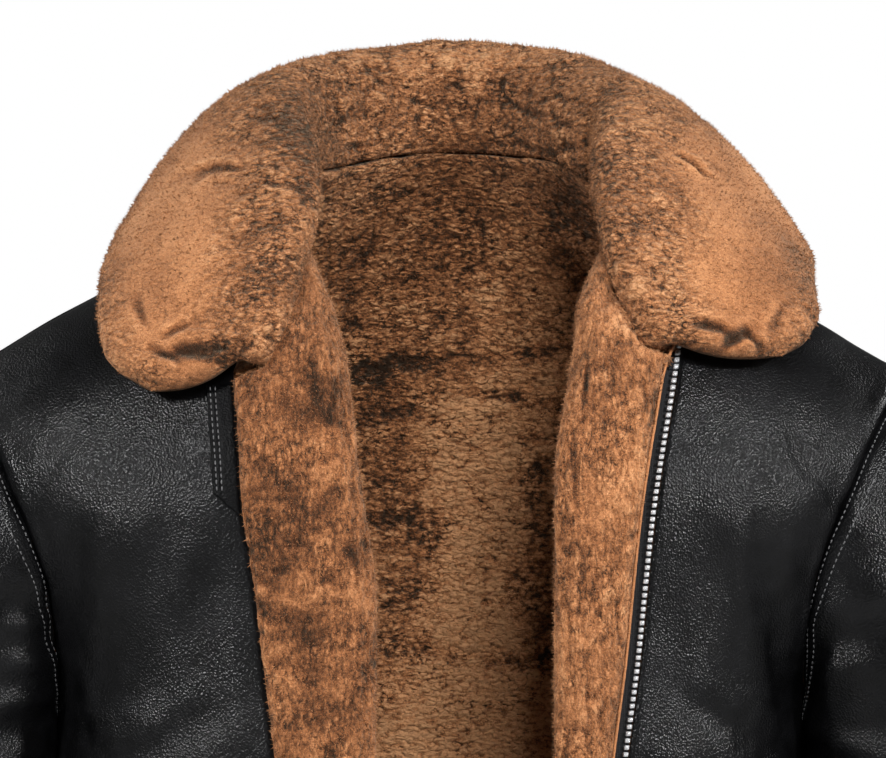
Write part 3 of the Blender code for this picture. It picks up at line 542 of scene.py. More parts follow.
def flap_rings(side_name, rows, around):
    side = SIDES[side_name]
    z = np.linspace(HEM_Z + 0.001, FLAP_TIP_Z[side_name], rows)
    leather = opening(side_name + "_edge", z)
    start = flap_start(side_name, z)
    width = np.maximum(leather - opening(side_name + "_flap", z), start + 0.004)
    room = np.clip((width - start) / 0.036, 0.06, 1.0)
    flange = flange_length(side_name, z) * np.clip(1.5 - start / 0.002, 0.1, 1.0)
    rings = []
    lip = np.clip((z - LIP_ENDS_Z) / 0.020, 0.0, 1.0)
    for kind, reach, depth in FLAP_OUTLINE[side_name]:
        if kind == "flange":
            across = start + reach * flange
        elif kind == "lip":
            across = start + flange + 0.0012 + (reach - 1.0) * (flange + 0.0010) * lip
        elif kind == "roll":
            across = start + flange + reach * MM * room
        else:
            across = width - reach * MM * room
        deep = 0.003 + (depth * MM - 0.003) * (0.35 + 0.65 * room)
        deep = deep - (0.0050 if depth < -3.0 else 0.0) * np.exp(-((z + 0.104) / 0.030) ** 2)
        rings.append(on_form(side * (leather - across), z, deep))
    return closed_curve(np.array(rings).transpose(1, 0, 2), around)


flaps = {name: flap_rings(name, FLAP_ROWS, FLAP_ROUND) for name in SIDES}
print("flap grid:", flaps["left"].shape[:2])

# %% [markdown]
# ## Wool relief
# Clipped wool stands in soft mounds with thin dark splits between them. Smooth noise gives both: its absolute
# value is a round mound wherever the noise is high or low, and a sharp valley along the line where it
# passes through nothing. It is worked out in space, not on a flat map, so it never stretches.

# %% Smooth noise, mounds and splits
def hashed(cells, seed):
    """Three even numbers from 0 to 1 for each whole-number cell, by multiplying and folding its bits."""
    mixed = cells[..., 0] * 73856093 ^ cells[..., 1] * 19349663 ^ cells[..., 2] * 83492791 ^ seed * 2654435761
    mixed = (mixed ^ (mixed >> 13)) * 1274126177 & 0x7FFFFFFF
    second = (mixed ^ (mixed >> 11)) * 668265263 & 0x7FFFFFFF
    third = (second ^ (second >> 12)) * 374761393 & 0x7FFFFFFF
    return np.stack([mixed, second, third], axis=-1) / float(0x7FFFFFFF)


def soft_noise(points, size, seed):
    """Value noise from -1 to 1: random heights on a lattice of the given size, blended smoothly."""
    place = points / size
    low = np.floor(place).astype(np.int64)
    s = place - low
    s = s * s * (3 - 2 * s)
    total = np.zeros(points.shape[:-1])
    for corner in range(8):
        step = np.array([corner & 1, corner >> 1 & 1, corner >> 2 & 1])
        weight = np.prod(np.where(step == 1, s, 1 - s), axis=-1)
        total += weight * hashed(low + step, seed)[..., 0]
    return 2 * total - 1


def mounds(points, size, seed):
    """Round mounds from -1 to 1 with thin valleys: twice the square root of the noise's absolute value, less 1."""
    return 2 * np.sqrt(np.abs(soft_noise(points, size, seed))) - 1


def wool_height(points, roughness, seed, stretch=(1.0, 1.0, 1.0)):
    """Pile height from -1 to 1: wide waves, and mounds of 13, 7 and 4 mm whose amount follows the roughness.
    A stretch above 1 makes the mounds narrower that way."""
    bent = points * np.array(stretch)
    bent = bent + 0.0040 * np.stack([soft_noise(points, 0.012, seed + k) for k in (1, 2, 3)], axis=-1)
    wide = soft_noise(points, 0.034, seed + 4)
    patch = np.clip(0.65 + 0.9 * soft_noise(points, 0.020, seed + 7), 0.15, 1.3)
    rough = np.clip(roughness * patch, 0.05, 1.2)
    large = mounds(bent, 0.013, seed + 5)
    middle = mounds(bent, 0.0072, seed + 6)
    small = mounds(bent, 0.0040, seed + 8)
    return 0.30 * wide + rough * (0.42 * large + 0.38 * middle + 0.24 * small - 0.10)


sample = np.random.default_rng(1).uniform(-0.1, 0.1, (2000, 3))
print("wool height runs from", wool_height(sample, 0.6, 1).min().round(2), "to", wool_height(sample, 0.6, 1).max().round(2))

# %% [markdown]
# ## Creases
# Leather of this weight folds in soft, uneven troughs with a low ridge on each side. Each row of a crease
# table is one trough: where it is, which way it runs, and its half length, half width and depth.

# %% A trough with its ridges
def trough_depth(along, across, bow):
    """Bell curve across, less two weaker bells beside it, fading out past each end and bowed along."""
    across = across + bow * along ** 2
    shape = np.exp(-across ** 2) - 0.42 * np.exp(-((across - 1.7) / 1.1) ** 2)
    shape = shape - 0.28 * np.exp(-((across + 1.7) / 1.1) ** 2)
    return shape * np.exp(-np.abs(along) ** 3)


def creases(a, b, rows, columns):
    """Sum of troughs over two coordinates in metres. Each row turns the pair to run along its own line."""
    depth = np.zeros(np.broadcast(a, b).shape)
    for row in rows:
        value = dict(zip(columns, row))
        angle = radians(value["angle"])
        da, db = a - value["a"] * MM, b - value["b"] * MM
        along = (da * cos(angle) + db * sin(angle)) / (value["half_length"] * MM)
        across = (db * cos(angle) - da * sin(angle)) / (value["half_width"] * MM)
        depth += value["depth"] * MM * trough_depth(along, across, value["bow"])
    return depth


def shades(x, z, rows):
    """Sum of soft oval patches: bell curves in both directions."""
    total = np.zeros(np.broadcast(x, z).shape)
    for at, level, wide, high, change in rows:
        total += change * np.exp(-((x - at * MM) / (wide * MM)) ** 2 - ((z - level * MM) / (high * MM)) ** 2)
    return total


CREASE_COLUMNS = ("a", "b", "angle", "half_length", "half_width", "depth", "bow")
# a is the place across from the middle of the body, positive on both sides, and b the level
FRONT_CREASES = {
    "left": (
        (190, -262, 100, 60, 9, 2.6, 0.3), (203, -300, 68, 34, 6, 1.8, -0.2), (170, -318, 152, 44, 7, 2.0, 0.4),
        (150, -352, 160, 52, 8, 2.2, -0.3), (176, -395, 166, 46, 8, 2.4, 0.2), (132, -430, 172, 40, 8, 1.8, 0.5),
        (182, -470, 8, 40, 8, 2.2, -0.4), (140, -520, 175, 52, 9, 2.4, 0.2), (178, -565, 6, 34, 7, 1.9, 0.3),
        (120, -600, 168, 36, 9, 1.7, -0.2), (165, -640, 176, 48, 9, 2.2, 0.3), (110, -680, 10, 30, 8, 1.6, 0.2),
        (215, -175, 120, 30, 7, 1.4, 0.2), (150, -205, 96, 48, 14, 1.5, 0.1), (130, -300, 84, 60, 12, 1.2, 0.1),
    ),
    "right": (
        (204, -268, 96, 62, 9, 2.7, 0.2), (196, -306, 60, 30, 6, 1.7, 0.3), (160, -330, 155, 50, 8, 2.2, -0.3),
        (180, -372, 164, 44, 7, 2.2, 0.4), (128, -398, 8, 38, 9, 1.7, 0.2), (168, -440, 172, 50, 8, 2.4, -0.2),
        (125, -486, 168, 40, 8, 1.9, 0.3), (182, -515, 4, 38, 8, 2.1, 0.4), (138, -560, 176, 54, 9, 2.3, -0.3),
        (180, -610, 170, 40, 8, 2.0, 0.3), (115, -640, 6, 34, 8, 1.7, -0.2), (158, -690, 174, 46, 9, 2.0, 0.2),
        (212, -180, 118, 28, 7, 1.3, -0.2), (140, -190, 98, 44, 13, 1.6, 0.1), (122, -262, 92, 50, 11, 1.3, 0.1),
    ),
}
BACK_CREASES = (
    (-190, -285, 70, 56, 9, 2.6, 0.3), (192, -280, 112, 58, 9, 2.7, -0.3), (-150, -330, 32, 50, 9, 2.2, 0.2),
    (155, -338, 150, 52, 9, 2.3, 0.2), (-60, -380, 8, 70, 11, 2.0, -0.3), (70, -402, 172, 64, 10, 2.2, 0.3),
    (-150, -430, 14, 60, 9, 2.5, 0.2), (160, -446, 168, 56, 9, 2.3, -0.2), (0, -478, 2, 80, 11, 2.4, 0.2),
    (-110, -530, 172, 64, 10, 2.2, 0.3), (120, -545, 8, 60, 10, 2.3, -0.3), (-30, -600, 176, 70, 11, 2.0, 0.2),
    (-170, -590, 6, 44, 9, 2.0, -0.2), (165, -620, 174, 48, 9, 2.1, 0.2), (60, -660, 4, 60, 10, 1.8, 0.3),
    (-90, -690, 176, 50, 10, 1.8, -0.2), (-70, -130, 60, 52, 11, 1.3, 0.2), (75, -135, 118, 54, 11, 1.3, 0.2),
    (0, -200, 90, 80, 13, 1.1, 0.1), (-120, -215, 74, 60, 12, 1.3, 0.1), (125, -220, 104, 60, 12, 1.3, 0.1),
)
# a is the way round the sleeve from the outside by the front, and b the level
SLEEVE_CREASES = {
    "left": (
        (60, -236, 20, 40, 8, 1.6, 0.3), (110, -268, 160, 46, 8, 2.4, 0.3), (150, -288, 150, 44, 7, 2.6, 0.2),
        (70, -312, 172, 50, 8, 2.0, -0.3), (160, -338, 12, 46, 8, 2.4, 0.3), (110, -372, 170, 50, 7, 2.0, -0.2),
        (60, -410, 10, 44, 7, 1.9, 0.3), (150, -428, 168, 48, 8, 2.4, 0.4), (90, -470, 4, 58, 8, 2.8, -0.3),
        (130, -496, 172, 46, 7, 2.6, 0.3), (60, -520, 12, 40, 7, 2.3, 0.2), (110, -556, 176, 54, 8, 2.6, -0.2),
        (150, -590, 8, 38, 7, 2.0, 0.3), (60, -622, 170, 42, 7, 1.9, 0.3), (110, -652, 6, 50, 8, 2.2, -0.3),
        (80, -686, 174, 40, 7, 1.7, 0.2), (300, -330, 8, 46, 9, 1.8, 0.2), (330, -400, 170, 44, 8, 2.0, -0.2),
        (290, -470, 6, 50, 9, 2.2, 0.3), (320, -540, 174, 46, 8, 2.0, 0.2), (280, -610, 8, 44, 8, 1.8, -0.2),
        (300, -670, 172, 40, 8, 1.6, 0.2),
    ),
    "right": (
        (110, -252, 172, 52, 8, 2.4, 0.2), (140, -270, 6, 48, 7, 2.6, -0.3), (90, -292, 170, 54, 8, 2.5, 0.3),
        (150, -318, 10, 44, 8, 2.2, 0.2), (60, -338, 174, 46, 8, 1.8, -0.2), (120, -366, 168, 50, 8, 2.3, 0.3),
        (70, -398, 8, 46, 7, 2.0, 0.3), (150, -420, 172, 44, 8, 2.2, -0.3), (100, -456, 176, 56, 8, 2.8, 0.3),
        (60, -486, 10, 42, 7, 2.3, -0.2), (130, -512, 170, 48, 7, 2.6, 0.3), (90, -548, 4, 52, 8, 2.5, 0.2),
        (140, -580, 172, 42, 7, 2.1, -0.3), (70, -612, 8, 44, 8, 2.0, 0.2), (120, -645, 174, 48, 8, 2.2, 0.3),
        (60, -680, 6, 38, 7, 1.6, 0.2), (300, -320, 172, 46, 9, 1.8, -0.2), (325, -392, 8, 44, 8, 2.0, 0.2),
        (290, -462, 174, 50, 9, 2.2, 0.2), (315, -532, 6, 46, 8, 2.0, -0.2), (280, -602, 170, 44, 8, 1.8, 0.2),
        (305, -664, 8, 40, 8, 1.6, 0.2),
    ),
}
print("creases on the fronts:", {name: len(rows) for name, rows in FRONT_CREASES.items()})

# %% [markdown]
# ## Finishes
# Each finish is a small tree of nodes. Patterns read Object coordinates, so they sit still in the piece, and
# the wool also reads a value stored on its points, 0 down in a split and 1 at the tip of the pile, which paints
# shade into the splits and hollows and light onto the tips.

# %% Small helpers for node trees
def new_finish(name, colour, roughness, metallic=0.0):
    made = bpy.data.materials.new(name)
    made.use_nodes = True
    shader = made.node_tree.nodes["Principled BSDF"]
    shader.inputs["Base Color"].default_value = (*colour, 1.0)
    shader.inputs["Roughness"].default_value = roughness
    shader.inputs["Metallic"].default_value = metallic
    return made, made.node_tree, shader


def object_place(tree):
    return tree.nodes.new("ShaderNodeTexCoord").outputs["Object"]


def noise_of(tree, place, scale, detail=2.0, roughness=0.5):
    made = tree.nodes.new("ShaderNodeTexNoise")
    made.inputs["Scale"].default_value = scale
    made.inputs["Detail"].default_value = detail
    made.inputs["Roughness"].default_value = roughness
    tree.links.new(place, made.inputs["Vector"])
    return made.outputs["Fac"]


def cells_of(tree, place, scale, feature="F1"):
    made = tree.nodes.new("ShaderNodeTexVoronoi")
    made.feature = feature
    made.inputs["Scale"].default_value = scale
    tree.links.new(place, made.inputs["Vector"])
    return made.outputs["Distance"]


def maths(tree, operation, first, second):
    made = tree.nodes.new("ShaderNodeMath")
    made.operation = operation
    for socket, value in zip(made.inputs, (first, second)):
        if isinstance(value, float):
            socket.default_value = value
        else:
            tree.links.new(value, socket)
    return made.outputs["Value"]


def ramp_of(tree, value, stops):
    """Colours at places from 0 to 1 along a value."""
    made = tree.nodes.new("ShaderNodeValToRGB")
    band = made.color_ramp
    for k, (place, colour) in enumerate(stops):
        stop = band.elements[k] if k < 2 else band.elements.new(place)
        stop.position = place
        stop.color = (*colour, 1.0)
    tree.links.new(value, made.inputs["Fac"])
    return made.outputs["Color"]


def bump_of(tree, height, strength, distance, before=None):
    made = tree.nodes.new("ShaderNodeBump")
    made.inputs["Strength"].default_value = strength
    made.inputs["Distance"].default_value = distance
    tree.links.new(height, made.inputs["Height"])
    if before is not None:
        tree.links.new(before, made.inputs["Normal"])
    return made.outputs["Normal"]


# %% [markdown]
# The leather is black, drum-grained cowhide-like skin: small rounded pebbles about 1.5 mm across, each edged
# by a fine valley, and a soft shine that is uneven where the skin has been handled.

# %% Black pebbled leather
SMOOTHEST = 0.285


def leather_finish(name, colour, roughness, gloss):
    made, tree, shader = new_finish(name, colour, roughness)
    place = object_place(tree)
    pebbles = cells_of(tree, place, 820.0, "F1")
    fine = noise_of(tree, place, 1700.0, 2.0)
    wide = noise_of(tree, place, 26.0, 3.0)
    worn = noise_of(tree, place, 90.0, 2.0, 0.5)
    shine = maths(tree, "ADD", maths(tree, "MULTIPLY", wide, 0.22), maths(tree, "MULTIPLY", worn, 0.06))
    shine = maths(tree, "MAXIMUM", maths(tree, "ADD", shine, roughness - 0.14), SMOOTHEST)
    tree.links.new(shine, shader.inputs["Roughness"])
    tone = maths(tree, "MULTIPLY", maths(tree, "ADD", wide, worn), 0.5)
    dark = tuple(c * 0.55 for c in colour)
    light = tuple(c * 1.9 for c in colour)
    tree.links.new(ramp_of(tree, tone, ((0.38, dark), (0.66, light))), shader.inputs["Base Color"])
    normal = bump_of(tree, fine, 0.20, 0.00010)
    normal = bump_of(tree, pebbles, 0.80, 0.00040, normal)
    tree.links.new(normal, shader.inputs["Normal"])
    shader.inputs["Specular IOR Level"].default_value = gloss
    return made


LEATHER = leather_finish("black_pebbled_leather", (0.0024, 0.0024, 0.0027), 0.31, 0.46)
TAB_LEATHER = leather_finish("black_tab_leather", (0.0012, 0.0012, 0.0014), 0.50, 0.22)
print("finish:", LEATHER.name)

# %% [markdown]
# The wool's colour runs from near black brown in its splits to pale ginger at its tips: painted shade in the
# splits and painted light on the tips. A fine grain of light and dark fibres lies over that, and a little sheen
# catches the light at grazing angles, as pile does.

# %% Ginger wool
def split_lines(tree, place, scale, width):
    """1 along the lines where a noise passes through its middle, 0 from a width away: thin wandering splits."""
    made = noise_of(tree, place, scale, 3.0, 0.55)
    away = maths(tree, "ABSOLUTE", maths(tree, "SUBTRACT", made, 0.5), 0.0)
    near = maths(tree, "MINIMUM", maths(tree, "DIVIDE", away, width), 1.0)
    return maths(tree, "SUBTRACT", 1.0, near)


def warped(tree, place, scale, reach):
    """A place pushed about by a smooth noise, up to half the reach each way."""
    made = tree.nodes.new("ShaderNodeTexNoise")
    made.inputs["Scale"].default_value = scale
    tree.links.new(place, made.inputs["Vector"])
    pushed = tree.nodes.new("ShaderNodeVectorMath")
    pushed.operation = "MULTIPLY_ADD"
    tree.links.new(made.outputs["Color"], pushed.inputs[0])
    pushed.inputs[1].default_value = (reach, reach, reach)
    tree.links.new(place, pushed.inputs[2])
    return pushed.outputs["Vector"]


def wool_finish(name, gain, stretch):
    """Colours by pile height, as painted shade low down and painted light on top, with grain everywhere and mottling
    and splits where the stored `rough` is high.
    """
    made, tree, shader = new_finish(name, (0.42, 0.18, 0.07), 0.95)
    place = object_place(tree)
    turned = tree.nodes.new("ShaderNodeMapping")
    turned.inputs["Scale"].default_value = stretch
    tree.links.new(place, turned.inputs["Vector"])
    along = turned.outputs["Vector"]
    pile_shade, rough = (tree.nodes.new("ShaderNodeAttribute") for _ in range(2))
    pile_shade.attribute_name, rough.attribute_name = "pile_shade", "rough"
    pile_shade, rough = pile_shade.outputs["Fac"], rough.outputs["Fac"]
    fibre = noise_of(tree, place, 1150.0, 3.0, 0.80)
    lock = noise_of(tree, along, 290.0, 4.0, 0.75)
    wide = noise_of(tree, place, 30.0, 3.0, 0.6)
    patch = noise_of(tree, place, 55.0, 2.0, 0.5)
    mottle = maths(tree, "MULTIPLY", maths(tree, "SUBTRACT", lock, 0.5), maths(tree, "ADD", maths(tree, "MULTIPLY", rough, 1.30), 0.25))
    grain = maths(tree, "MULTIPLY", maths(tree, "SUBTRACT", fibre, 0.5), 1.00)
    slow = maths(tree, "MULTIPLY", maths(tree, "SUBTRACT", wide, 0.5), 0.42)
    here = maths(tree, "MINIMUM", maths(tree, "MAXIMUM", maths(tree, "MULTIPLY", maths(tree, "SUBTRACT", patch, 0.44), 7.0), 0.0), 1.0)
    # splits: thin lines dented by the bump below and also painted darker, as painted shade in the split
    splits = maths(tree, "MULTIPLY", split_lines(tree, along, 130.0, 0.030), maths(tree, "MULTIPLY", here, rough))
    fine_splits = maths(tree, "MULTIPLY", split_lines(tree, along, 260.0, 0.045), rough)
    split_bump_and_shade = maths(tree, "ADD", maths(tree, "MULTIPLY", splits, 0.46), maths(tree, "MULTIPLY", fine_splits, 0.20))
    # curls: painted light in the middle of each small round clump and painted shade round it, where the pile is rough
    clump = cells_of(tree, warped(tree, along, 170.0, 0.0075), 215.0)
    curl = maths(tree, "MULTIPLY", maths(tree, "SUBTRACT", 0.56, clump), rough)
    curl_painted_shade = maths(tree, "MULTIPLY", curl, maths(tree, "ADD", maths(tree, "MULTIPLY", here, 0.50), 0.45))
    level = maths(tree, "ADD", maths(tree, "MULTIPLY", pile_shade, 0.85), 0.03)
    for part in (mottle, grain, slow, curl_painted_shade):
        level = maths(tree, "ADD", level, part)
    level = maths(tree, "SUBTRACT", level, split_bump_and_shade)
    # the ramp runs from near black, painted shade down in the splits, to pale ginger, painted light on the tips
    stops = (
        (0.00, (0.014, 0.0046, 0.0018)), (0.22, (0.110, 0.036, 0.013)), (0.45, (0.330, 0.124, 0.046)),
        (0.66, (0.560, 0.240, 0.098)), (0.92, (0.760, 0.385, 0.180)),
    )
    toned = tuple((at, tuple(gain * c for c in colour)) for at, colour in stops)
    tree.links.new(ramp_of(tree, level, toned), shader.inputs["Base Color"])
    normal = bump_of(tree, fibre, 0.60, 0.0011)
    normal = bump_of(tree, lock, 0.50, 0.0020, normal)
    normal = bump_of(tree, maths(tree, "SUBTRACT", 1.0, split_bump_and_shade), 0.8, 0.0030, normal)
    normal = bump_of(tree, curl, 0.9, 0.0036, normal)
    tree.links.new(normal, shader.inputs["Normal"])
    shader.inputs["Sheen Weight"].default_value = 0.25
    shader.inputs["Sheen Roughness"].default_value = 0.6
    shader.inputs["Sheen Tint"].default_value = (1.0, 0.78, 0.55, 1.0)
    shader.inputs["Specular IOR Level"].default_value = 0.12
    return made


WOOL = wool_finish("ginger_wool", 1.0, (1.0, 1.0, 1.7))
FLAP_WOOL = wool_finish("ginger_flap_wool", 1.0, (1.6, 1.0, 0.8))
print("finishes:", WOOL.name, FLAP_WOOL.name)

# %% [markdown]
# The zip is plain nickel-plated metal on a black woven tape, and its thread and the seams' are dark grey.

# %% Metal, tape, thread and binding
def metal_finish(name, colour, roughness):
    """Satin plated metal: a little unevenness in its shine and fine scratches of handling."""
    made, tree, shader = new_finish(name, colour, roughness, 0.55)
    place = object_place(tree)
    rub = noise_of(tree, place, 700.0, 4.0, 0.6)
    tree.links.new(maths(tree, "ADD", maths(tree, "MULTIPLY", rub, 0.20), roughness - 0.10), shader.inputs["Roughness"])
    tree.links.new(bump_of(tree, rub, 0.15, 0.0001), shader.inputs["Normal"])
    tree.links.new(ramp_of(tree, rub, ((0.3, tuple(c * 0.82 for c in colour)), (0.7, colour))), shader.inputs["Base Color"])
    return made


def woven_finish(name, colour, scale, roughness):
    """Two sets of fine bands at right angles, one added to the other, as tape and thread are woven."""
    made, tree, shader = new_finish(name, colour, roughness)
    place = object_place(tree)
    bands = []
    for axis in ("X", "Z"):
        wave = tree.nodes.new("ShaderNodeTexWave")
        wave.bands_direction = axis
        wave.inputs["Scale"].default_value = scale
        wave.inputs["Distortion"].default_value = 0.6
        tree.links.new(place, wave.inputs["Vector"])
        bands.append(wave.outputs["Fac"])
    weave = maths(tree, "MULTIPLY", maths(tree, "ADD", *bands), 0.5)
    tree.links.new(ramp_of(tree, weave, ((0.2, tuple(c * 0.5 for c in colour)), (0.8, tuple(c * 1.5 for c in colour)))),
                   shader.inputs["Base Color"])
    tree.links.new(bump_of(tree, weave, 0.6, 0.0003), shader.inputs["Normal"])
    return made


NICKEL = metal_finish("nickel_teeth", (0.90, 0.90, 0.91), 0.30)
STEEL = metal_finish("nickel_slider", (0.74, 0.74, 0.75), 0.30)
TAPE = woven_finish("black_zip_tape", (0.010, 0.010, 0.011), 330.0, 0.75)
THREAD = woven_finish("grey_thread", (0.150, 0.150, 0.152), 900.0, 0.45)
BINDING = woven_finish("tan_binding", (0.46, 0.195, 0.080), 420.0, 0.70)
for names, finish in ((("zip_slider", "zip_pull", "zip_box", "zip_pin"), STEEL), (("zip_tape_left", "zip_tape_right"), TAPE)):
    for name in names:
        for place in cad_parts[name].material_slots:
            place.material = finish
print("finishes: metal, tape, thread and binding")

# %% [markdown]
# ## From grids to meshes
# A wall has a fine side that is seen and a plain side that is not. The plain side uses every few points of
# the fine grid, and each of its rim faces spans that many fine steps, so the wall is closed at little cost.

# %% Meshes from arrays
def add_piece(name, points, faces, finish, stored=(), smooth_faces=True, turn_out=True):
    """An object at the origin from an array of points and a list of arrays of faces, one array per corner count."""
    mesh = bpy.data.meshes.new(name)
    corners = np.concatenate([f.reshape(-1) for f in faces]).astype(np.int32)
    sizes = np.concatenate([np.full(len(f), f.shape[1]) for f in faces]).astype(np.int32)
    starts = np.concatenate([[0], np.cumsum(sizes)[:-1]]).astype(np.int32)
    mesh.vertices.add(len(points))
    mesh.vertices.foreach_set("co", np.asarray(points, dtype=np.float32).reshape(-1))
    mesh.loops.add(len(corners))
    mesh.loops.foreach_set("vertex_index", corners)
    mesh.polygons.add(len(sizes))
    mesh.polygons.foreach_set("loop_start", starts)
    mesh.polygons.foreach_set("use_smooth", np.full(len(sizes), smooth_faces))
    mesh.update(calc_edges=True)
    if turn_out:
        shape = bmesh.new()
        shape.from_mesh(mesh)
        bmesh.ops.recalc_face_normals(shape, faces=shape.faces)
        shape.to_mesh(mesh)
        shape.free()
    for value_name, values in dict(stored).items():
        kept = mesh.attributes.new(value_name, "FLOAT", "POINT")
        kept.data.foreach_set("value", np.asarray(values, dtype=np.float32).reshape(-1))
    mesh.materials.append(finish)
    made = bpy.data.objects.new(name, mesh)
    bpy.context.scene.collection.objects.link(made)
    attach(made, BODY)
    return made


def quads(rows, cols, closed):
    """Corner numbers of a grid's faces, with the last column joined to the first if closed."""
    r, c = np.meshgrid(np.arange(rows - 1), np.arange(cols if closed else cols - 1), indexing="ij")
    d = (c + 1) % cols
    faces = np.stack([r * cols + c, r * cols + d, (r + 1) * cols + d, (r + 1) * cols + c], axis=-1)
    return faces.reshape(-1, 4)


def rims(fine, plain, step):
    """Faces that close a line of fine points onto its plain line, which has one point to every few."""
    k = np.arange(len(plain) - 1)
    outer = [fine[k * step + j] for j in range(step + 1)]
    return np.stack([*outer, plain[k + 1], plain[k]], axis=-1)


def wall_of(fine, plain, step, closed=False):
    """Points and faces of a closed wall: a fine grid, a plain grid behind it, and their joined rims."""
    rows, cols = fine.shape[:2]
    p_rows, p_cols = plain.shape[:2]
    points = np.concatenate([fine.reshape(-1, 3), plain.reshape(-1, 3)])
    high = np.arange(rows * cols).reshape(rows, cols)
    low = rows * cols + np.arange(p_rows * p_cols).reshape(p_rows, p_cols)
    around = (np.concatenate([g, g[:, :1]], axis=1) if closed else g for g in (high, low))
    high, low = around
    edges = [rims(high[k], low[k], step) for k in (0, -1)]
    if not closed:
        edges += [rims(high[:, k], low[:, k], step) for k in (0, -1)]
    behind = rows * cols + quads(p_rows, p_cols, closed)
    return points, [np.concatenate([quads(rows, cols, closed), behind]), np.concatenate(edges)]


def edge_distance(grid, sides):
    """Rough distance of each point of a grid from its nearest named edge: low, high, first or last."""
    down = np.cumsum(np.linalg.norm(np.diff(grid, axis=0, prepend=grid[:1]), axis=-1), axis=0)
    over = np.cumsum(np.linalg.norm(np.diff(grid, axis=1, prepend=grid[:, :1]), axis=-1), axis=1)
    found = {"low": down, "high": down[-1:] - down, "first": over, "last": over[:, -1:] - over}
    return np.min([found[name] for name in sides], axis=0)


print("helpers ready")

# %% [markdown]
# ## Leather shells
# The shell is the outside of each panel, with its creases, and a cut edge 1.6 mm thick. Near every seam the
# skin dips, where the stitching pulls it in, and stands up again just beside it.

# %% How far the skin is lifted or sunk at each point
LEATHER_THICK = 0.0016
PLAIN_STEP = 2


def seam_dip(distance, points):
    """A narrow valley at the seam and a low, puckered roll 6 mm from it, all bell curves."""
    pucker = 1.0 + 0.9 * soft_noise(points, 0.0085, 77)
    roll = 0.0008 * pucker * np.exp(-((distance - 0.0065) / 0.0040) ** 2)
    return roll - 0.0010 * np.exp(-(distance / 0.0020) ** 2)


def soft_skin(points, seed):
    """Slow unevenness of a hide: waves of 70 mm and of 24 mm."""
    return 0.0012 * soft_noise(points, 0.070, seed) + 0.00045 * soft_noise(points, 0.024, seed + 1)


def uneven(points, seed):
    """Two small wandering shifts that keep a crease from being drawn with a ruler."""
    return [0.0060 * soft_noise(points, 0.028, seed) + 0.0022 * soft_noise(points, 0.011, seed + 1) for seed in (seed, seed + 5)]


def held(lift):
    """A soft limit: sunk places level off at 1.7 mm, by the hyperbolic tangent; raised ones stand a little more."""
    return np.where(lift < 0, -0.0017 * np.tanh(-lift / 0.0017), lift * 1.25)


def front_lift(side_name, grid):
    side = SIDES[side_name]
    wander = uneven(grid, 140)
    lift = seam_dip(edge_distance(grid, ("last",) if side > 0 else ("first",)), grid)
    lift = lift + 0.45 * seam_dip(edge_distance(grid, ("high",)), grid) + soft_skin(grid, 20 + int(side))
    across = side * (grid[..., 0] + HANG_SHIFT) + wander[0]
    lift = lift - creases(across, grid[..., 2] + wander[1], FRONT_CREASES[side_name], CREASE_COLUMNS)
    return held(lift) * round_off(edge_distance(grid, ("low", "last" if side < 0 else "first")) + 0.001, 0.006)


def back_lift(grid):
    wander = uneven(grid, 150)
    lift = seam_dip(edge_distance(grid, ("first", "last")), grid)
    lift = lift + 0.45 * seam_dip(edge_distance(grid, ("high",)), grid) + soft_skin(grid, 30)
    across = grid[..., 0] + HANG_SHIFT + wander[0]
    return held(lift - creases(across, grid[..., 2] + wander[1], BACK_CREASES, CREASE_COLUMNS))


def sleeve_lift(side_name, grid):
    """Seam, hide and creases, and the inner side pressed out against the body below the underarm."""
    wander = uneven(grid, 160)
    turn = np.linspace(0, 2 * pi, grid.shape[1], endpoint=False)
    turn = np.broadcast_to(turn[None, :], grid.shape[:2])
    depth = np.zeros(grid.shape[:2])
    for row in SLEEVE_CREASES[side_name]:
        away = (turn - radians(row[0]) + pi) % (2 * pi) - pi
        depth += creases(away * 0.060 + wander[0], grid[..., 2] + wander[1], ((0, *row[1:]),), CREASE_COLUMNS)
    pressed = 0.0062 * np.exp(-((turn - pi) / 0.75) ** 2) * np.exp(-np.abs((grid[..., 2] + 0.372) / 0.062) ** 3)
    lift = seam_dip(edge_distance(grid, ("low",)), grid) + soft_skin(grid, 40 + int(SIDES[side_name]))
    return held(lift - 1.35 * depth * (1 - 0.7 * np.exp(-((turn - pi) / 0.6) ** 2))) + pressed


# %% Fronts, back and sleeves in leather
def leather_wall(name, node, grid, normals, lift, closed):
    fine = grid + normals * lift[..., None]
    sunk = np.minimum(lift, 0.0)[..., None]
    plain = (grid + normals * (sunk - LEATHER_THICK))[::PLAIN_STEP, ::PLAIN_STEP]
    points, faces = wall_of(fine, plain, PLAIN_STEP, closed)
    made = add_piece(name, points, faces, LEATHER)
    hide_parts(node)
    return fine


leather_grids = {}
for side_name, side in SIDES.items():
    grid = fronts[side_name]
    normals = panel_normals(grid, "front", (-1 if side > 0 else 0,))
    leather_grids[side_name] = leather_wall(
        "leather_front_" + side_name, "front_" + side_name, grid, normals, front_lift(side_name, grid), False,
    )

normals = panel_normals(back, "back", (0, -1))
leather_grids["back"] = leather_wall(
    "leather_back", "back", back, normals, back_lift(back), False
)

for side_name in SIDES:
    grid = sleeves[side_name]
    leather_grids["sleeve_" + side_name] = leather_wall(
        "leather_sleeve_" + side_name, "sleeve_" + side_name, grid, tube_normals(grid),
        sleeve_lift(side_name, grid), True
    )
print("leather pieces:", sorted(leather_grids))

# %% [markdown]
# Behind each seam lie its turned-in edges. A soft black cord of leather just under the armhole, side and
# shoulder seams stands for them, and closes the line between two skins. A wool cord covers it on the inside.

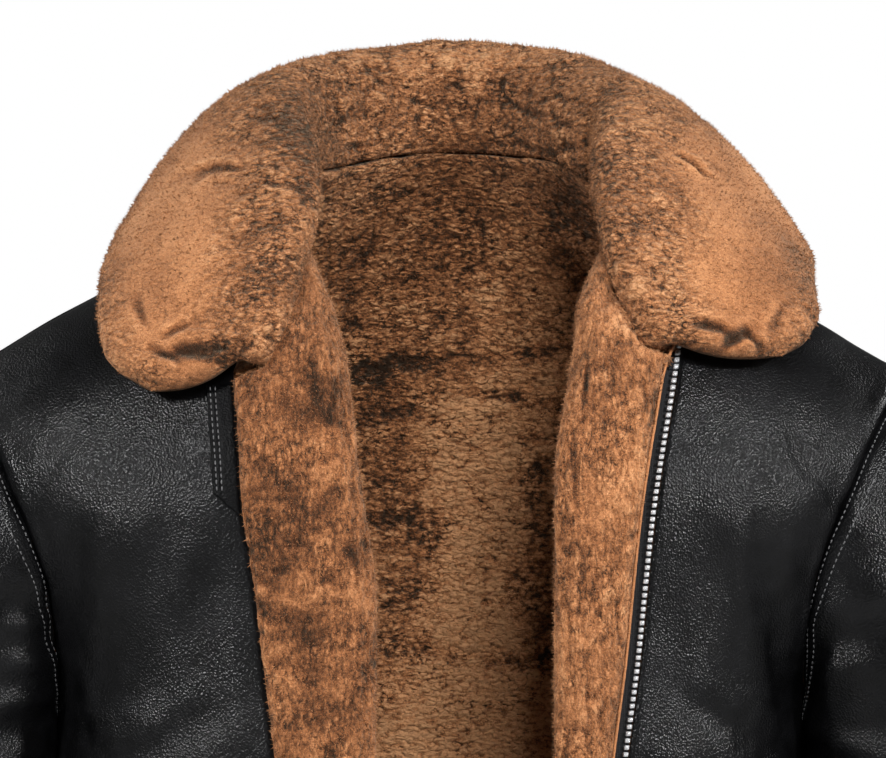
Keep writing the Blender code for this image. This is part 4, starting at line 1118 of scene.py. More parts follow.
# %% Turned-in edges behind the seams
def tube_along(path, radius, around, closed=False):
    """Rings round a path: at each point, radius times cosine and sine on two directions square to the path."""
    ends = np.concatenate([path[-1:], path, path[:1]]) if closed else np.concatenate([path[:1], path, path[-1:]])
    way = unit(ends[2:] - ends[:-2])
    first = unit(np.cross(way, np.array([0.31, 0.22, 0.93])))
    second = np.cross(way, first)
    turn = np.linspace(0, 2 * pi, around, endpoint=False)[None, :, None]
    radius = np.broadcast_to(radius, len(path))[:, None, None]
    return path[:, None] + radius * (np.cos(turn) * first[:, None] + np.sin(turn) * second[:, None])


def armhole_line(side_name):
    column = -1 if SIDES[side_name] > 0 else 0
    front_edge = fronts[side_name][-ARM_ROWS - 1:, column]
    back_edge = back[-ARM_ROWS - 1:, column]
    return np.concatenate([front_edge[::-1], back_edge[1:-1]])


def closed_tube(rings):
    """A tube whose last ring is joined to its first."""
    around = rings.shape[1]
    last = (len(rings) - 1) * around
    k = np.arange(around)
    shut = np.stack([last + k, last + (k + 1) % around, (k + 1) % around, k], axis=-1)
    return rings.reshape(-1, 3), [np.concatenate([quads(len(rings), around, True), shut])]


def capped_tube(rings):
    """Points and faces of a tube of rings with a fan of faces to a middle point at each end."""
    rows, cols = rings.shape[:2]
    ends = np.stack([rings[0].mean(axis=0), rings[-1].mean(axis=0)])
    points = np.concatenate([rings.reshape(-1, 3), ends])
    k = np.arange(cols)
    d = (k + 1) % cols
    last = (rows - 1) * cols
    caps = np.concatenate([
        np.stack([d, k, np.full(cols, rows * cols)], axis=-1),
        np.stack([last + k, last + d, np.full(cols, rows * cols + 1)], axis=-1),
    ])
    return points, [quads(rows, cols, True), caps]


# each seam has a leather cord just under the skin and a wool one further in: (name, radius, depth, finish, slot)
SEAM_CORDS = (("edge", 0.0027, 0.0036, TAB_LEATHER, "leather"), ("wool", 0.0031, 0.0072, WOOL, "wool"))
for side_name, side in SIDES.items():
    armhole = armhole_line(side_name)
    armhole_in = unit(armhole.mean(axis=0) - armhole)
    side_line = fronts[side_name][4:-ARM_ROWS:2, -1 if side > 0 else 0] * np.array([1.0, 0.0, 1.0])
    top_line = fronts[side_name][-1, ::int(side)][2:] * np.array([1.0, 0.0, 1.0])
    for cord, radius, deep, finish, slot_name in SEAM_CORDS:
        paths = {
            "armhole_": closed_tube(tube_along(armhole + armhole_in * deep, radius, 10, closed=True)),
            "side_": capped_tube(tube_along(side_line + np.array([-side * deep, 0, 0]), radius, 10)),
            "shoulder_": capped_tube(tube_along(top_line + np.array([0, 0, -deep]), radius, 10)),
        }
        for seam_name, (points, faces) in paths.items():
            stored = {"pile_shade": np.full(len(points), 0.50), "rough": np.full(len(points), 0.5)} if cord == "wool" else ()
            add_piece(seam_name + cord + "_" + side_name, points, faces, finish, stored)
print("seam edges made")

# %% [markdown]
# ## Wool linings
# The lining is the same skin's other side. Its seen side is the pile, with mounds and splits, and its plain
# side lies just inside the leather. The back's lining has its points closest together behind the open
# fronts, where it is seen.

# %% Linings of the back, the fronts and the sleeves
LINING_START = 0.0024
BACK_STRETCH = (1.0, 1.0, 1.5)
# lines where the lining folds as it hangs: x, level, angle, half length, half width, depth, bow
BACK_FOLDS = (
    (-40, -122, 4, 46, 5, 2.6, 0.3), (30, -133, 172, 40, 5, 2.4, -0.3), (-20, -146, 2, 50, 4, 1.8, 0.2),
    (40, -110, 8, 30, 4, 1.8, 0.3), (-52, -92, 160, 24, 4, 1.6, 0.2), (46, -178, 8, 28, 5, 1.6, -0.2),
    (-30, -205, 175, 34, 5, 1.6, 0.3), (12, -282, 178, 52, 5, 2.2, 0.3), (-36, -276, 8, 26, 5, 1.6, 0.2),
    (44, -300, 168, 22, 4, 1.5, 0.3), (-8, -236, 86, 40, 5, 1.2, 0.2), (22, -240, 94, 44, 5, 1.2, -0.2),
)


def wool_wall(name, skin_grid, into, depth, height, closed, step, roughness, lift):
    """A pile from just inside the skin, sunk wherever the skin is, to a depth that the relief varies by 2.2 mm."""
    fine = skin_grid + into * (depth + 0.0022 * np.clip(height, -1.2, 1.0))[..., None]
    plain = (skin_grid + into * (LINING_START - 1.15 * np.minimum(lift, 0.0))[..., None])[::step, ::step]
    points, faces = wall_of(fine, plain, step, closed)
    behind = np.zeros(plain.shape[:2]).reshape(-1)
    stored = {
        "pile_shade": np.concatenate([np.clip(0.54 + 0.68 * height, 0, 1).reshape(-1), behind]),
        "rough": np.concatenate([np.broadcast_to(roughness, height.shape).reshape(-1), behind]),
    }
    made = add_piece(name, points, faces, WOOL, stored)
    return made, fine, height


def lining_depth(grid, sides):
    """Full depth away from the edges; at an edge it rounds back to the skin within 5 mm."""
    edge = round_off(edge_distance(grid, sides) + 0.0006, 0.005)
    return LINING_START + 0.0004 + (SKIN_WALL - 0.0009 - LINING_START) * edge


# painted shade and painted light on the back's pile: a shadow under the collar's right edge, shade at the sides and in
# a fold, and paler places where light falls in through the opening: x, level, half width, half height, change
BACK_PAINTED_LIGHT_AND_SHADE = (
    (-26, -225, 16, 52, -0.34), (12, -322, 50, 26, 0.50), (-42, -38, 24, 22, -0.20), (76, -40, 15, 50, -0.30),
    (34, -44, 22, 18, 0.14), (-40, -120, 28, 18, -0.26), (-6, -86, 40, 9, 0.16), (8, -285, 46, 7, -0.30),
    (50, -230, 12, 60, -0.20), (0, -12, 70, 7, 0.08),
)

wool_grids = {}
low_v = np.linspace(0, 0.54, 92)[:-1]
high_v = np.linspace(0.54, 1.0, 150)
lining = back_panel(np.concatenate([low_v, high_v]), 92, 34)
into = -panel_normals(lining, "back", (0, -1))
# at the neck seam the pile stands level, so that it meets the collar's, more so in some places than in others
below_neck = edge_distance(lining, ("high",))
level_share = np.clip(0.80 + 0.45 * soft_noise(lining, 0.014, 67), 0, 1) * np.exp(-(below_neck / 0.009) ** 2)
into = unit(into * (1 - level_share[..., None] * np.array([0.0, 0.0, 1.0])))
relief = wool_height(lining + into * SKIN_WALL, 0.95, 60, BACK_STRETCH)
wander = uneven(lining, 64)
folds = creases(lining[..., 0] + wander[0], lining[..., 2] + 1.3 * wander[1], BACK_FOLDS, CREASE_COLUMNS)
# the folds are sunk and also painted darker in the pile colour, as painted shade in the folds
relief = relief - folds / 0.0016 * (0.40 + 0.30 * soft_noise(lining, 0.016, 66))
# a paler band down the middle of the back is painted light, where light falls in through the open fronts; just under
# the collar the pile is painted a little darker, as painted shade
centre = np.exp(-((lining[..., 0] - 0.012 - 0.4 * wander[0]) / 0.024) ** 2) * np.clip((-0.12 - lining[..., 2]) / 0.03, 0, 1)
neck_shade = np.clip((lining[..., 2] + 0.135) / 0.03, 0, 1)
relief += 0.85 * centre + 0.20 - 0.06 * neck_shade
# painted shade and painted light from the back's table
relief += 1.3 * shades(lining[..., 0] + 1.5 * wander[0], lining[..., 2] + 1.5 * wander[1], BACK_PAINTED_LIGHT_AND_SHADE)
wool_back, *wool_grids["back"] = wool_wall(
    "wool_back", lining, into, lining_depth(lining, ("first", "last", "low")), relief, False, 4, 1.15,
    back_lift(lining)
)
for side_name, side in SIDES.items():
    grid = front_panel(side_name, 40, 64, 20, 36)
    outer_column = -1 if side > 0 else 0
    into = -panel_normals(grid, "front", (outer_column,))
    relief = wool_height(grid, 0.7, 70)
    depth = lining_depth(grid, ("first", "last", "low", "high"))
    wool_wall("wool_front_" + side_name, grid, into, depth, relief, False, 4, 0.7, front_lift(side_name, grid))
    back_coarse = back_panel(drop_shares(40, 64), 40, 30)
    grid = sleeve_grid(side_name, grid, back_coarse, 40, 16, 60)
    into = -tube_normals(grid)
    wool_wall("wool_sleeve_" + side_name, grid, into, lining_depth(grid, ("low", "high")) + 0.0008,
              wool_height(grid, 0.7, 80), True, 4, 0.7, sleeve_lift(side_name, grid))
print("lining grid:", lining.shape[:2])

# %% [markdown]
# ## The wool collar
# The pile is 12 mm deep over the skin side, and rounds off to nothing at the free edges. It is smooth on the
# wings, where it was combed and clipped, and rough along the roll and inside the neck, where it is bent.

# %% Splits and hollows of the collar
# where the pile parts, seen from the front: x, level, angle, half length, half width, depth, bow
WING_SPLITS = (
    (-128, -10, 15, 18, 1.7, 2.2, 0.5), (-137, -15, 20, 8, 1.6, 1.4, 0.3), (-99, -69, 32, 13, 3.0, 3.6, -0.5),
    (-106, -78, 14, 9, 2.2, 2.2, 0.4), (-92, -60, 60, 9, 2.0, 1.8, 0.3), (-137, -109, 8, 18, 3.2, 3.0, 0.6),
    (-124, -116, 152, 10, 2.6, 2.6, -0.4), (-148, -102, 24, 9, 2.0, 2.0, 0.4), (-112, -108, 78, 9, 2.4, 2.4, 0.3),
    (-158, -114, 160, 9, 2.2, 1.8, 0.3), (-118, -96, 40, 8, 1.8, 1.8, 0.3), (-170, -92, 110, 10, 2.4, 1.4, 0.3),
    (-88, -40, 74, 11, 1.8, 1.4, 0.2), (-100, -30, 100, 8, 1.6, 1.2, 0.2), (-110, -52, 30, 8, 1.6, 1.0, 0.2),
    (132, -3, 150, 9, 1.7, 2.4, -0.4), (139, -9, 138, 7, 1.6, 1.6, 0.4), (118, 10, 150, 8, 1.6, 1.2, 0.3),
    (140, -95, 164, 14, 3.0, 3.2, -0.5), (158, -101, 20, 12, 2.6, 2.6, 0.5), (150, -110, 172, 10, 2.4, 2.2, 0.3),
    (170, -104, 140, 9, 2.2, 2.0, 0.3), (132, -106, 70, 8, 2.2, 2.2, -0.3), (182, -92, 60, 9, 2.2, 1.4, 0.3),
    (92, 26, 70, 9, 1.8, 2.2, 0.3), (89, 8, 96, 9, 1.8, 2.2, -0.3), (94, -10, 80, 9, 1.8, 2.4, 0.3),
    (99, -30, 100, 10, 1.8, 2.2, 0.2), (92, -46, 76, 9, 1.8, 2.0, 0.3), (104, -4, 60, 8, 1.6, 1.8, 0.3),
    (108, -24, 30, 8, 1.6, 1.4, 0.3), (103, 16, 120, 7, 1.6, 1.8, 0.3), (86, -66, 84, 10, 2.0, 2.2, 0.2),
    (110, -62, 96, 10, 2.0, 1.6, 0.2), (97, -82, 70, 9, 2.0, 1.8, 0.2), (112, -84, 110, 8, 1.8, 1.6, 0.2),
)
ROLL_SPLITS = (
    (70, 27, 150, 11, 2.0, 2.6, 0.4), (56, 30, 20, 9, 1.8, 2.2, 0.3), (42, 22, 168, 12, 2.2, 2.4, 0.3),
    (62, 16, 120, 9, 2.0, 2.6, 0.3), (78, 12, 60, 9, 1.8, 2.2, 0.3), (30, 34, 100, 8, 1.8, 1.6, 0.3),
    (14, 24, 80, 10, 1.6, 1.8, 0.3), (2, 16, 96, 9, 1.6, 1.6, 0.2), (-14, 26, 150, 10, 1.8, 1.4, 0.2),
    (-34, 14, 20, 12, 2.0, 1.6, 0.3), (-56, 22, 60, 10, 1.8, 1.4, 0.3), (-74, 6, 110, 10, 2.0, 1.8, 0.3),
    (-84, -10, 80, 11, 2.0, 2.0, 0.2), (-78, -28, 70, 10, 2.0, 1.8, 0.3), (50, 2, 170, 14, 2.2, 2.2, 0.3),
    (24, 4, 12, 14, 2.2, 1.6, 0.3), (-50, 2, 4, 14, 2.2, 1.6, 0.3), (84, 30, 130, 8, 1.8, 2.0, 0.3),
)
print("splits:", len(WING_SPLITS) + len(ROLL_SPLITS))

# painted shade and painted light on the collar's pile, seen from the front: darker inside the roll, in the wings'
# hollows and near their edges, paler along the top: x, level, half width, half height, change
COLLAR_PAINTED_LIGHT_AND_SHADE = (
    (-82, 4, 17, 34, -0.36), (60, 28, 26, 18, 0.02), (-106, -72, 16, 12, -0.32), (-136, -110, 26, 9, -0.22),
    (146, -102, 30, 9, -0.20), (94, -6, 10, 44, -0.10), (-150, -40, 34, 36, 0.04), (152, -46, 34, 36, -0.02),
    (0, 52, 100, 8, 0.16), (-4, 26, 60, 13, -0.20), (-190, -60, 12, 40, -0.10), (196, -60, 12, 40, -0.10),
)


# %% The collar's wool
stand_share = np.clip(run / run[:, -1:], 0, 1)
edge_away = run[:, -1:] - run
front_rows = np.concatenate([[0], np.cumsum(np.linalg.norm(np.diff(collar_in[:, -1], axis=0), axis=-1))])
end_away = np.minimum(front_rows, front_rows[-1] - front_rows)[:, None]
thick = COLLAR_WALL * round_off(edge_away + 0.0004, 0.0095) * (0.25 + 0.75 * round_off(end_away, 0.012))
thick = thick * (0.50 + 0.50 * round_off(run, 0.016))
outward = unit(collar_in[:, -1] - collar_in[:, -4])[:, None, :]
lumps = 1.0 + 0.45 * soft_noise(collar_in[:, -1:], 0.013, 97)
spread = EDGE_REACH * lumps * np.clip(1 - edge_away / 0.012, 0, 1) ** 1.5
collar_skin_side = collar_in + outward * spread[..., None]
on_wing = np.clip((np.abs(collar_t)[:, None] - 0.30) / 0.15, 0, 1) * np.clip((stand_share - 0.34) / 0.10, 0, 1)
wander = 0.10 * soft_noise(collar_in, 0.022, 172) + 0.05 * soft_noise(collar_in, 0.009, 173)
smooth_wing = np.clip((np.abs(collar_t)[:, None] - 0.26) / 0.24, 0, 1) * np.clip((stand_share - 0.34 + wander) / 0.22, 0, 1)
near_edge = np.clip(1 - edge_away / 0.026, 0, 1)
roughness = 0.92 - 0.80 * smooth_wing + 0.55 * smooth_wing * near_edge
collar_place = collar_skin_side + collar_out * COLLAR_WALL
relief = wool_height(collar_place, roughness, 90)
wander = uneven(collar_place, 170)
split_x, split_z = collar_place[..., 0] + 0.8 * wander[0], collar_place[..., 2] + 0.8 * wander[1]
splits = 1.35 * on_wing * creases(split_x, split_z, WING_SPLITS, CREASE_COLUMNS)
rolled = np.clip((0.50 - np.abs(collar_t)[:, None]) / 0.08, 0, 1) * np.clip((0.70 - stand_share) / 0.10, 0, 1)
splits += 0.8 * rolled * creases(split_x, split_z, ROLL_SPLITS, CREASE_COLUMNS)
amount = (0.0024 + 0.0009 * np.clip(roughness, 0, 1)) * np.clip(thick / 0.006, 0, 1)
room = np.clip(thick / 0.008, 0, 1)
wool_side = collar_skin_side + collar_out * (thick + amount * relief - splits * room)[..., None]
COLLAR_STEP = 5
plain = collar_skin_side[::COLLAR_STEP, ::COLLAR_STEP]
points, faces = wall_of(wool_side, plain, COLLAR_STEP)
# the pile colour is painted darker in the splits, as painted shade, and takes the painted light and shade of the
# collar's table
height = relief - 0.36 * np.clip(splits / 0.001, -1, 3) + shades(split_x, split_z, COLLAR_PAINTED_LIGHT_AND_SHADE) / 0.54
behind = np.zeros(plain.shape[:2]).reshape(-1)
stored = {
    "pile_shade": np.concatenate([np.clip(0.60 + 0.54 * height, 0, 1).reshape(-1), behind + 0.2]),
    "rough": np.concatenate([np.clip(roughness, 0, 1).reshape(-1), behind]),
}
wool_collar = add_piece("wool_collar", points, faces, WOOL, stored)
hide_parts("collar")
wool_grids["collar"] = (wool_side, height)
print("collar points:", len(points))

# %% [markdown]
# ## Storm flaps
# The flap's section is closed, so its wool is too: a tube up each front edge, capped at both ends.

# %% The two flaps
# grooves in the flaps' pile: x, level, angle, half length, half width, depth, bow
FLAP_GROOVES = (
    (-56, -231, 88, 22, 1.6, 1.8, 0.2), (-52, -222, 94, 18, 1.4, 1.4, 0.2), (-60, -180, 84, 20, 1.6, 1.2, 0.3),
    (-66, -150, 80, 20, 1.6, 1.4, 0.3), (-74, -126, 96, 16, 1.6, 1.4, 0.2), (-90, -132, 84, 16, 1.6, 1.3, 0.2),
    (-84, -196, 100, 14, 2.0, 1.6, 0.3), (-72, -208, 30, 10, 2.0, 1.3, 0.4), (-98, -240, 150, 9, 2.0, 1.2, 0.4),
    (-76, -262, 88, 16, 1.6, 1.2, 0.2), (-88, -296, 92, 18, 1.6, 1.2, 0.2), (-62, -300, 86, 20, 1.6, 1.3, 0.2),
    (-70, -360, 90, 22, 1.8, 1.4, 0.2), (-52, -420, 88, 22, 1.8, 1.4, 0.2), (-60, -500, 90, 24, 1.8, 1.4, 0.2),
    (-46, -590, 88, 24, 1.8, 1.4, 0.2), (-40, -670, 92, 22, 1.8, 1.2, 0.2),
    (74, -130, 84, 18, 1.6, 1.4, 0.2), (88, -118, 96, 14, 1.6, 1.4, 0.3), (100, -142, 90, 14, 1.6, 1.2, 0.2),
    (68, -176, 92, 20, 1.6, 1.3, 0.2), (86, -196, 88, 16, 1.6, 1.2, 0.3), (98, -214, 40, 9, 1.8, 1.2, 0.4),
    (72, -236, 86, 18, 1.6, 1.3, 0.2), (92, -258, 94, 16, 1.6, 1.2, 0.2), (76, -300, 90, 22, 1.8, 1.3, 0.2),
    (66, -380, 90, 22, 1.8, 1.3, 0.2), (74, -460, 88, 24, 1.8, 1.3, 0.2), (56, -540, 92, 24, 1.8, 1.3, 0.2),
    (48, -630, 88, 24, 1.8, 1.3, 0.2),
)
FLAP_STRETCH = (1.5, 1.0, 0.8)
# base pile colour of each flap: the right flap is painted darker than the left, as painted shade on the side away from
# the key light
FLAP_TONE_AND_PAINTED_SHADE = {"left": 0.55, "right": 0.41}
for side_name in SIDES:
    rings = flaps[side_name]
    normals = tube_normals(rings)
    around = np.arange(FLAP_ROUND) / FLAP_ROUND * len(FLAP_OUTLINE[side_name])
    on_roll = np.clip(1 - np.abs(around - 6.0) / 5.0, 0, 1)[None, :] ** 0.4
    relief = 1.15 * wool_height(rings, 0.90, 110, FLAP_STRETCH)
    # the grooves are sunk and also painted darker in the pile colour, as painted shade in the grooves
    relief = relief - creases(rings[..., 0], rings[..., 2], FLAP_GROOVES, CREASE_COLUMNS) / 0.0018
    fine = rings + normals * (on_roll * 0.0017 * np.clip(relief, -1.6, 1))[..., None]
    points, faces = capped_tube(fine)
    stored = {
        "pile_shade": np.concatenate([np.clip(FLAP_TONE_AND_PAINTED_SHADE[side_name] + 0.40 * relief, 0, 1).reshape(-1), [0.4, 0.4]]),
        "rough": np.full(len(points), 0.50),
    }
    made = add_piece("wool_flap_" + side_name, points, faces, FLAP_WOOL, stored)
    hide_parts("storm_flap_" + side_name, "storm_flap_" + side_name + "_lower")
    wool_grids["flap_" + side_name] = (fine, relief)
print("flap pieces made")

# %% [markdown]
# Under the wing each flap thins out. Its rolled inner edge is carried on here as a soft tapered roll that goes
# up behind the wing, so the line of wool runs on without a break.

# %% The flaps' upper rolls
def upper_roll(side_name, rows, around):
    """A tube along the flap's inner edge whose radius is a flattened half circle of the way up it."""
    side = SIDES[side_name]
    z = np.linspace(-0.128, -0.040, rows)
    share = np.linspace(-1, 1, rows)
    radius = 0.0092 * (1 - np.abs(share) ** 3.0) ** 0.5 + 0.0004
    lean = 0.006 * np.clip((z + 0.060) / 0.020, 0, 1) ** 2
    inner = opening(side_name + "_flap", z) - 0.0004 + radius + lean
    sunk = 0.0015 + 0.0065 * np.clip((-0.100 - z) / 0.028, 0, 1)
    return tube_along(on_form(side * inner, z, sunk), radius, around)


for side_name in SIDES:
    rings = upper_roll(side_name, 90, 44)
    normals = tube_normals(rings)
    relief = wool_height(rings, 0.80, 114, FLAP_STRETCH)
    fine = rings + normals * (0.0014 * np.clip(relief, -1.3, 1))[..., None]
    points, faces = capped_tube(fine)
    stored = {
        "pile_shade": np.concatenate([np.clip(FLAP_TONE_AND_PAINTED_SHADE[side_name] + 0.04 + 0.36 * relief, 0, 1).reshape(-1), [0.4, 0.4]]),
        "rough": np.full(len(points), 0.40),
    }
    add_piece("wool_flap_roll_" + side_name, points, faces, FLAP_WOOL, stored)
    wool_grids["roll_" + side_name] = (fine, relief)
print("upper rolls made")

# %% [markdown]
# ## Zip teeth
# Each tooth is clamped round the tape's edge: a rounded block, a little narrower at its foot and head. One
# tooth is worked out, then added to every place along the zip, 3.8 mm apart, so that it follows the edge.

# %% A row of teeth on each tape
TEETH_START = {"left": 0.0225, "right": 0.0345}
TEETH_END_Z = {"left": -0.1065, "right": -0.1290}
TOOTH_PITCH = 0.0038
# one tooth: rings up the zip; each ring runs round the tooth, across and in depth, in millimetres
TOOTH_RINGS = ((-1.22, 0.74), (-1.00, 1.0), (1.00, 1.0), (1.22, 0.74))
TOOTH_ROUND = ((1.05, 0.9), (1.0, -0.5), (1.20, -1.05), (3.45, -1.10), (3.70, -0.60), (3.65, 0.9), (3.0, 1.28), (1.5, 1.28))


def tooth_template():
    """Rings of the tooth's outline, drawn in towards its middle at both ends, and a middle point for each end."""
    outline = np.array(TOOTH_ROUND)
    middle = outline.mean(axis=0)
    rings = [np.column_stack([middle[0] + s * (outline[:, 0] - middle[0]), np.full(len(outline), up),
                              middle[1] + s * (outline[:, 1] - middle[1])]) for up, s in TOOTH_RINGS]
    ends = [[(middle[0], TOOTH_RINGS[k][0], middle[1])] for k in (0, -1)]
    return np.concatenate([*rings, *ends]) * MM


def teeth_row(side_name):
    side = SIDES[side_name]
    template = tooth_template()
    z = np.arange(HEM_Z + TEETH_START[side_name] + 0.0016, TEETH_END_Z[side_name] - 0.0005, TOOTH_PITCH)
    level = z[:, None] + template[None, :, 1]
    x = side * (opening(side_name + "_edge", level) - template[None, :, 0])
    places = on_form(x, level, np.broadcast_to(template[None, :, 2], level.shape))
    count, size = len(TOOTH_ROUND), len(template)
    sides = quads(len(TOOTH_RINGS), count, True)
    k = np.arange(count)
    last = (len(TOOTH_RINGS) - 1) * count
    caps = np.concatenate([
        np.stack([(k + 1) % count, k, np.full(count, size - 2)], axis=-1),
        np.stack([last + k, last + (k + 1) % count, np.full(count, size - 1)], axis=-1),
    ])
    shift = (np.arange(len(z)) * size)[:, None, None]
    faces = [(sides[None] + shift).reshape(-1, 4), (caps[None] + shift).reshape(-1, 3)]
    made = add_piece("teeth_" + side_name, places.reshape(-1, 3), faces, NICKEL)
    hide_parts("zip_teeth_" + side_name)
    return len(z)


print("teeth:", {name: teeth_row(name) for name in SIDES})

# %% [markdown]
# A narrow tan binding finishes the storm flap's edge beside the tape on the wearer's left, where it shows.

# %% Binding along the flap
level = np.concatenate([np.linspace(HEM_Z + 0.0015, COLLAR_END_Z["left"], 260), np.linspace(-0.1170, -0.0985, 16)])
out = np.clip((level + 0.1190) / 0.0205, 0, 1) ** 1.5
across = 0.0008 + flange_length("left", level) - 0.0004 - 0.0075 * out
path = on_form(opening("left_edge", level) - across, level, -0.0006 - 0.0042 * np.clip((level + 0.1270) / 0.0120, 0, 1))
radius = 0.00085 * np.clip(np.minimum(np.arange(len(path)), np.arange(len(path))[::-1]) / 2.0, 0.35, 1.0)
points, faces = capped_tube(tube_along(path, radius, 8))
add_piece("flap_binding", points, faces, BINDING)
print("binding points:", len(points))

# the tape's end, which runs on under the collar between the binding and the teeth
level, share = np.meshgrid(np.linspace(-0.1205, -0.1030, 9), np.linspace(0, 1, 7), indexing="ij")
across = share * (0.0062 - 0.0030 * np.clip((level + 0.1190) / 0.0160, 0, 1))
top = on_form(opening("left_edge", level) - across, level, np.full(level.shape, 0.0004))
under = on_form(opening("left_edge", level) - across, level, np.full(level.shape, 0.0016))
points, faces = wall_of(top, under[::2, ::2], 2)
add_piece("tape_end", points, faces, TAPE)
print("tape end points:", len(points))

# %% [markdown]
# ## Throat tab
# The tab is a strip of the same leather, sewn flat to the right front's edge with two lines of stitches. Its
# lower end is cut on a slant and its edges are rounded.

# %% The tab
def tab_grid(rows, cols):
    """Grid over the tab: across from its sewn edge, and up from its slanted lower end."""
    across = np.linspace(0.0006, 0.0148, cols)
    low = np.interp(across, (across[0], across[-1]), (-0.2020, -0.1890))
    share = np.linspace(0, 1, rows)[:, None]
    z = low[None, :] + share * (-0.1300 - low[None, :])
    x = -(opening("right_edge", z) + across[None, :])
    return x, z


tab_x, tab_z = tab_grid(81, 21)
flat = on_form(tab_x, tab_z, np.full(tab_z.shape, -SEAM_GAP))
edge = edge_distance(flat, ("low", "first", "last"))
rise = 0.0011 + 0.0014 * round_off(edge + 0.0002, 0.0020) + 0.0003 * soft_noise(flat, 0.012, 190)
for stitched in (0.0098, 0.0126):
    line = opening("right_edge", tab_z) + stitched
    rise -= 0.0005 * np.exp(-((np.abs(tab_x) - line) / 0.0009) ** 2)
top = on_form(tab_x, tab_z, -SEAM_GAP - rise)
points, faces = wall_of(top, flat[::4, ::4], 4)
tab = add_piece("tab", points, faces, TAB_LEATHER)
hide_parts("throat_tab")
print("tab points:", len(points))

# %% [markdown]
# ## Stitches
# A stitch is a short, thick thread that sinks into the leather at both ends. All the stitches of a seam are
# worked out at once: even places along the seam's line, each with its own way along and way out.

# %% Stitches along a line
STITCH_STEP = 0.0036
STITCH_RINGS = ((-1.00, 0.35, -0.9), (-0.55, 1.0, 0.0), (0.55, 1.0, 0.0), (1.00, 0.35, -0.9))


def even_places(line, step):
    """Points at even steps along a line of points, and the way along at each."""
    run = np.concatenate([[0], np.cumsum(np.linalg.norm(np.diff(line, axis=0), axis=-1))])
    at = np.arange(step / 2, run[-1], step)
    place = np.stack([np.interp(at, run, line[:, k]) for k in range(3)], axis=-1)
    ahead = np.stack([np.interp(at + step * 0.2, run, line[:, k]) for k in range(3)], axis=-1)
    behind = np.stack([np.interp(at - step * 0.2, run, line[:, k]) for k in range(3)], axis=-1)
    return at, run, place, unit(ahead - behind)


def stitch_line(line, out, half_length=0.00125, radius=0.00040):
    """Points of all the stitches on a line: four rings of five points and a middle point at each end."""
    at, run, place, way = even_places(line, STITCH_STEP)
    up = unit(np.stack([np.interp(at, run, out[:, k]) for k in range(3)], axis=-1))
    over = np.cross(way, up)
    turn = np.linspace(0, 2 * pi, 5, endpoint=False)
    rings = []
    for along, wide, low in STITCH_RINGS:
        centre = place + way * (along * half_length) + up * (radius * (0.35 + low))
        ring = centre[:, None] + radius * wide * (np.cos(turn)[None, :, None] * over[:, None]
                                                  + np.sin(turn)[None, :, None] * up[:, None])
        rings.append(ring)
    return np.concatenate([*rings, rings[0].mean(axis=1, keepdims=True), rings[-1].mean(axis=1, keepdims=True)], axis=1)


def add_stitches(name, lines):
    groups = np.concatenate([stitch_line(line, out) for line, out in lines])
    size = groups.shape[1]
    k = np.arange(5)
    sides = quads(4, 5, True)
    caps = np.concatenate([
        np.stack([(k + 1) % 5, k, np.full(5, size - 2)], axis=-1),
        np.stack([15 + k, 15 + (k + 1) % 5, np.full(5, size - 1)], axis=-1),
    ])
    shift = (np.arange(len(groups)) * size)[:, None, None]
    faces = [(sides[None] + shift).reshape(-1, 4), (caps[None] + shift).reshape(-1, 3)]
    add_piece(name, groups.reshape(-1, 3), faces, THREAD)
    return len(groups)


def row_at(grid, distance, axis):
    """The line of points at a distance from a grid's first row, or first column, found between its own rows."""
    grid = grid if axis == 0 else grid.transpose(1, 0, 2)
    down = np.cumsum(np.linalg.norm(np.diff(grid, axis=0, prepend=grid[:1]), axis=-1), axis=0)
    k = np.clip((down < distance).sum(axis=0), 1, len(grid) - 1)
    column = np.arange(grid.shape[1])
    low, high = down[k - 1, column], down[k, column]
    share = ((distance - low) / (high - low))[:, None]
    return grid[k - 1, column] * (1 - share) + grid[k, column] * share


def line_on(grid, distance, axis=0, flip=False):
    """A line at a distance from an edge of a leather grid."""
    turned = grid[::-1] if flip and axis == 0 else grid[:, ::-1] if flip else grid
    return row_at(turned, distance, axis)


# %% Stitching of the seams, hem and cuffs
def outward_of(line, centre):
    """The way out of a seam line: away from a centre line, level."""
    away = line - centre
    away[:, 2] = 0.0
    return unit(away)


lines = []
for side_name, side in SIDES.items():
    sleeve = leather_grids["sleeve_" + side_name]
    out = tube_normals(sleeve)
    for distance, row in ((0.0032, 3), (0.0125, 10)):
        line = row_at(sleeve, distance, 0)
        way_out = out[np.clip((np.cumsum(np.linalg.norm(np.diff(sleeve, axis=0, prepend=sleeve[:1]), axis=-1), axis=0)
                               < distance).sum(axis=0), 1, len(sleeve) - 1), np.arange(sleeve.shape[1])]
        lines.append((np.concatenate([line, line[:1]]), np.concatenate([way_out, way_out[:1]])))
    cuff = row_at(sleeve[::-1], 0.014, 0)
    lines.append((np.concatenate([cuff, cuff[:1]]), np.concatenate([out[-6], out[-6, :1]])))
print("armhole and cuff stitches:", add_stitches("stitches_sleeves", lines))

lines = []
for side_name, side in SIDES.items():
    front = leather_grids[side_name]
    out = panel_normals(front, "front", (-1 if side > 0 else 0,))
    lines.append((row_at(front, 0.014, 0), out[3]))
lines.append((row_at(leather_grids["back"], 0.014, 0), panel_normals(leather_grids["back"], "back", (0, -1))[3]))
print("hem stitches:", add_stitches("stitches_hem", lines))

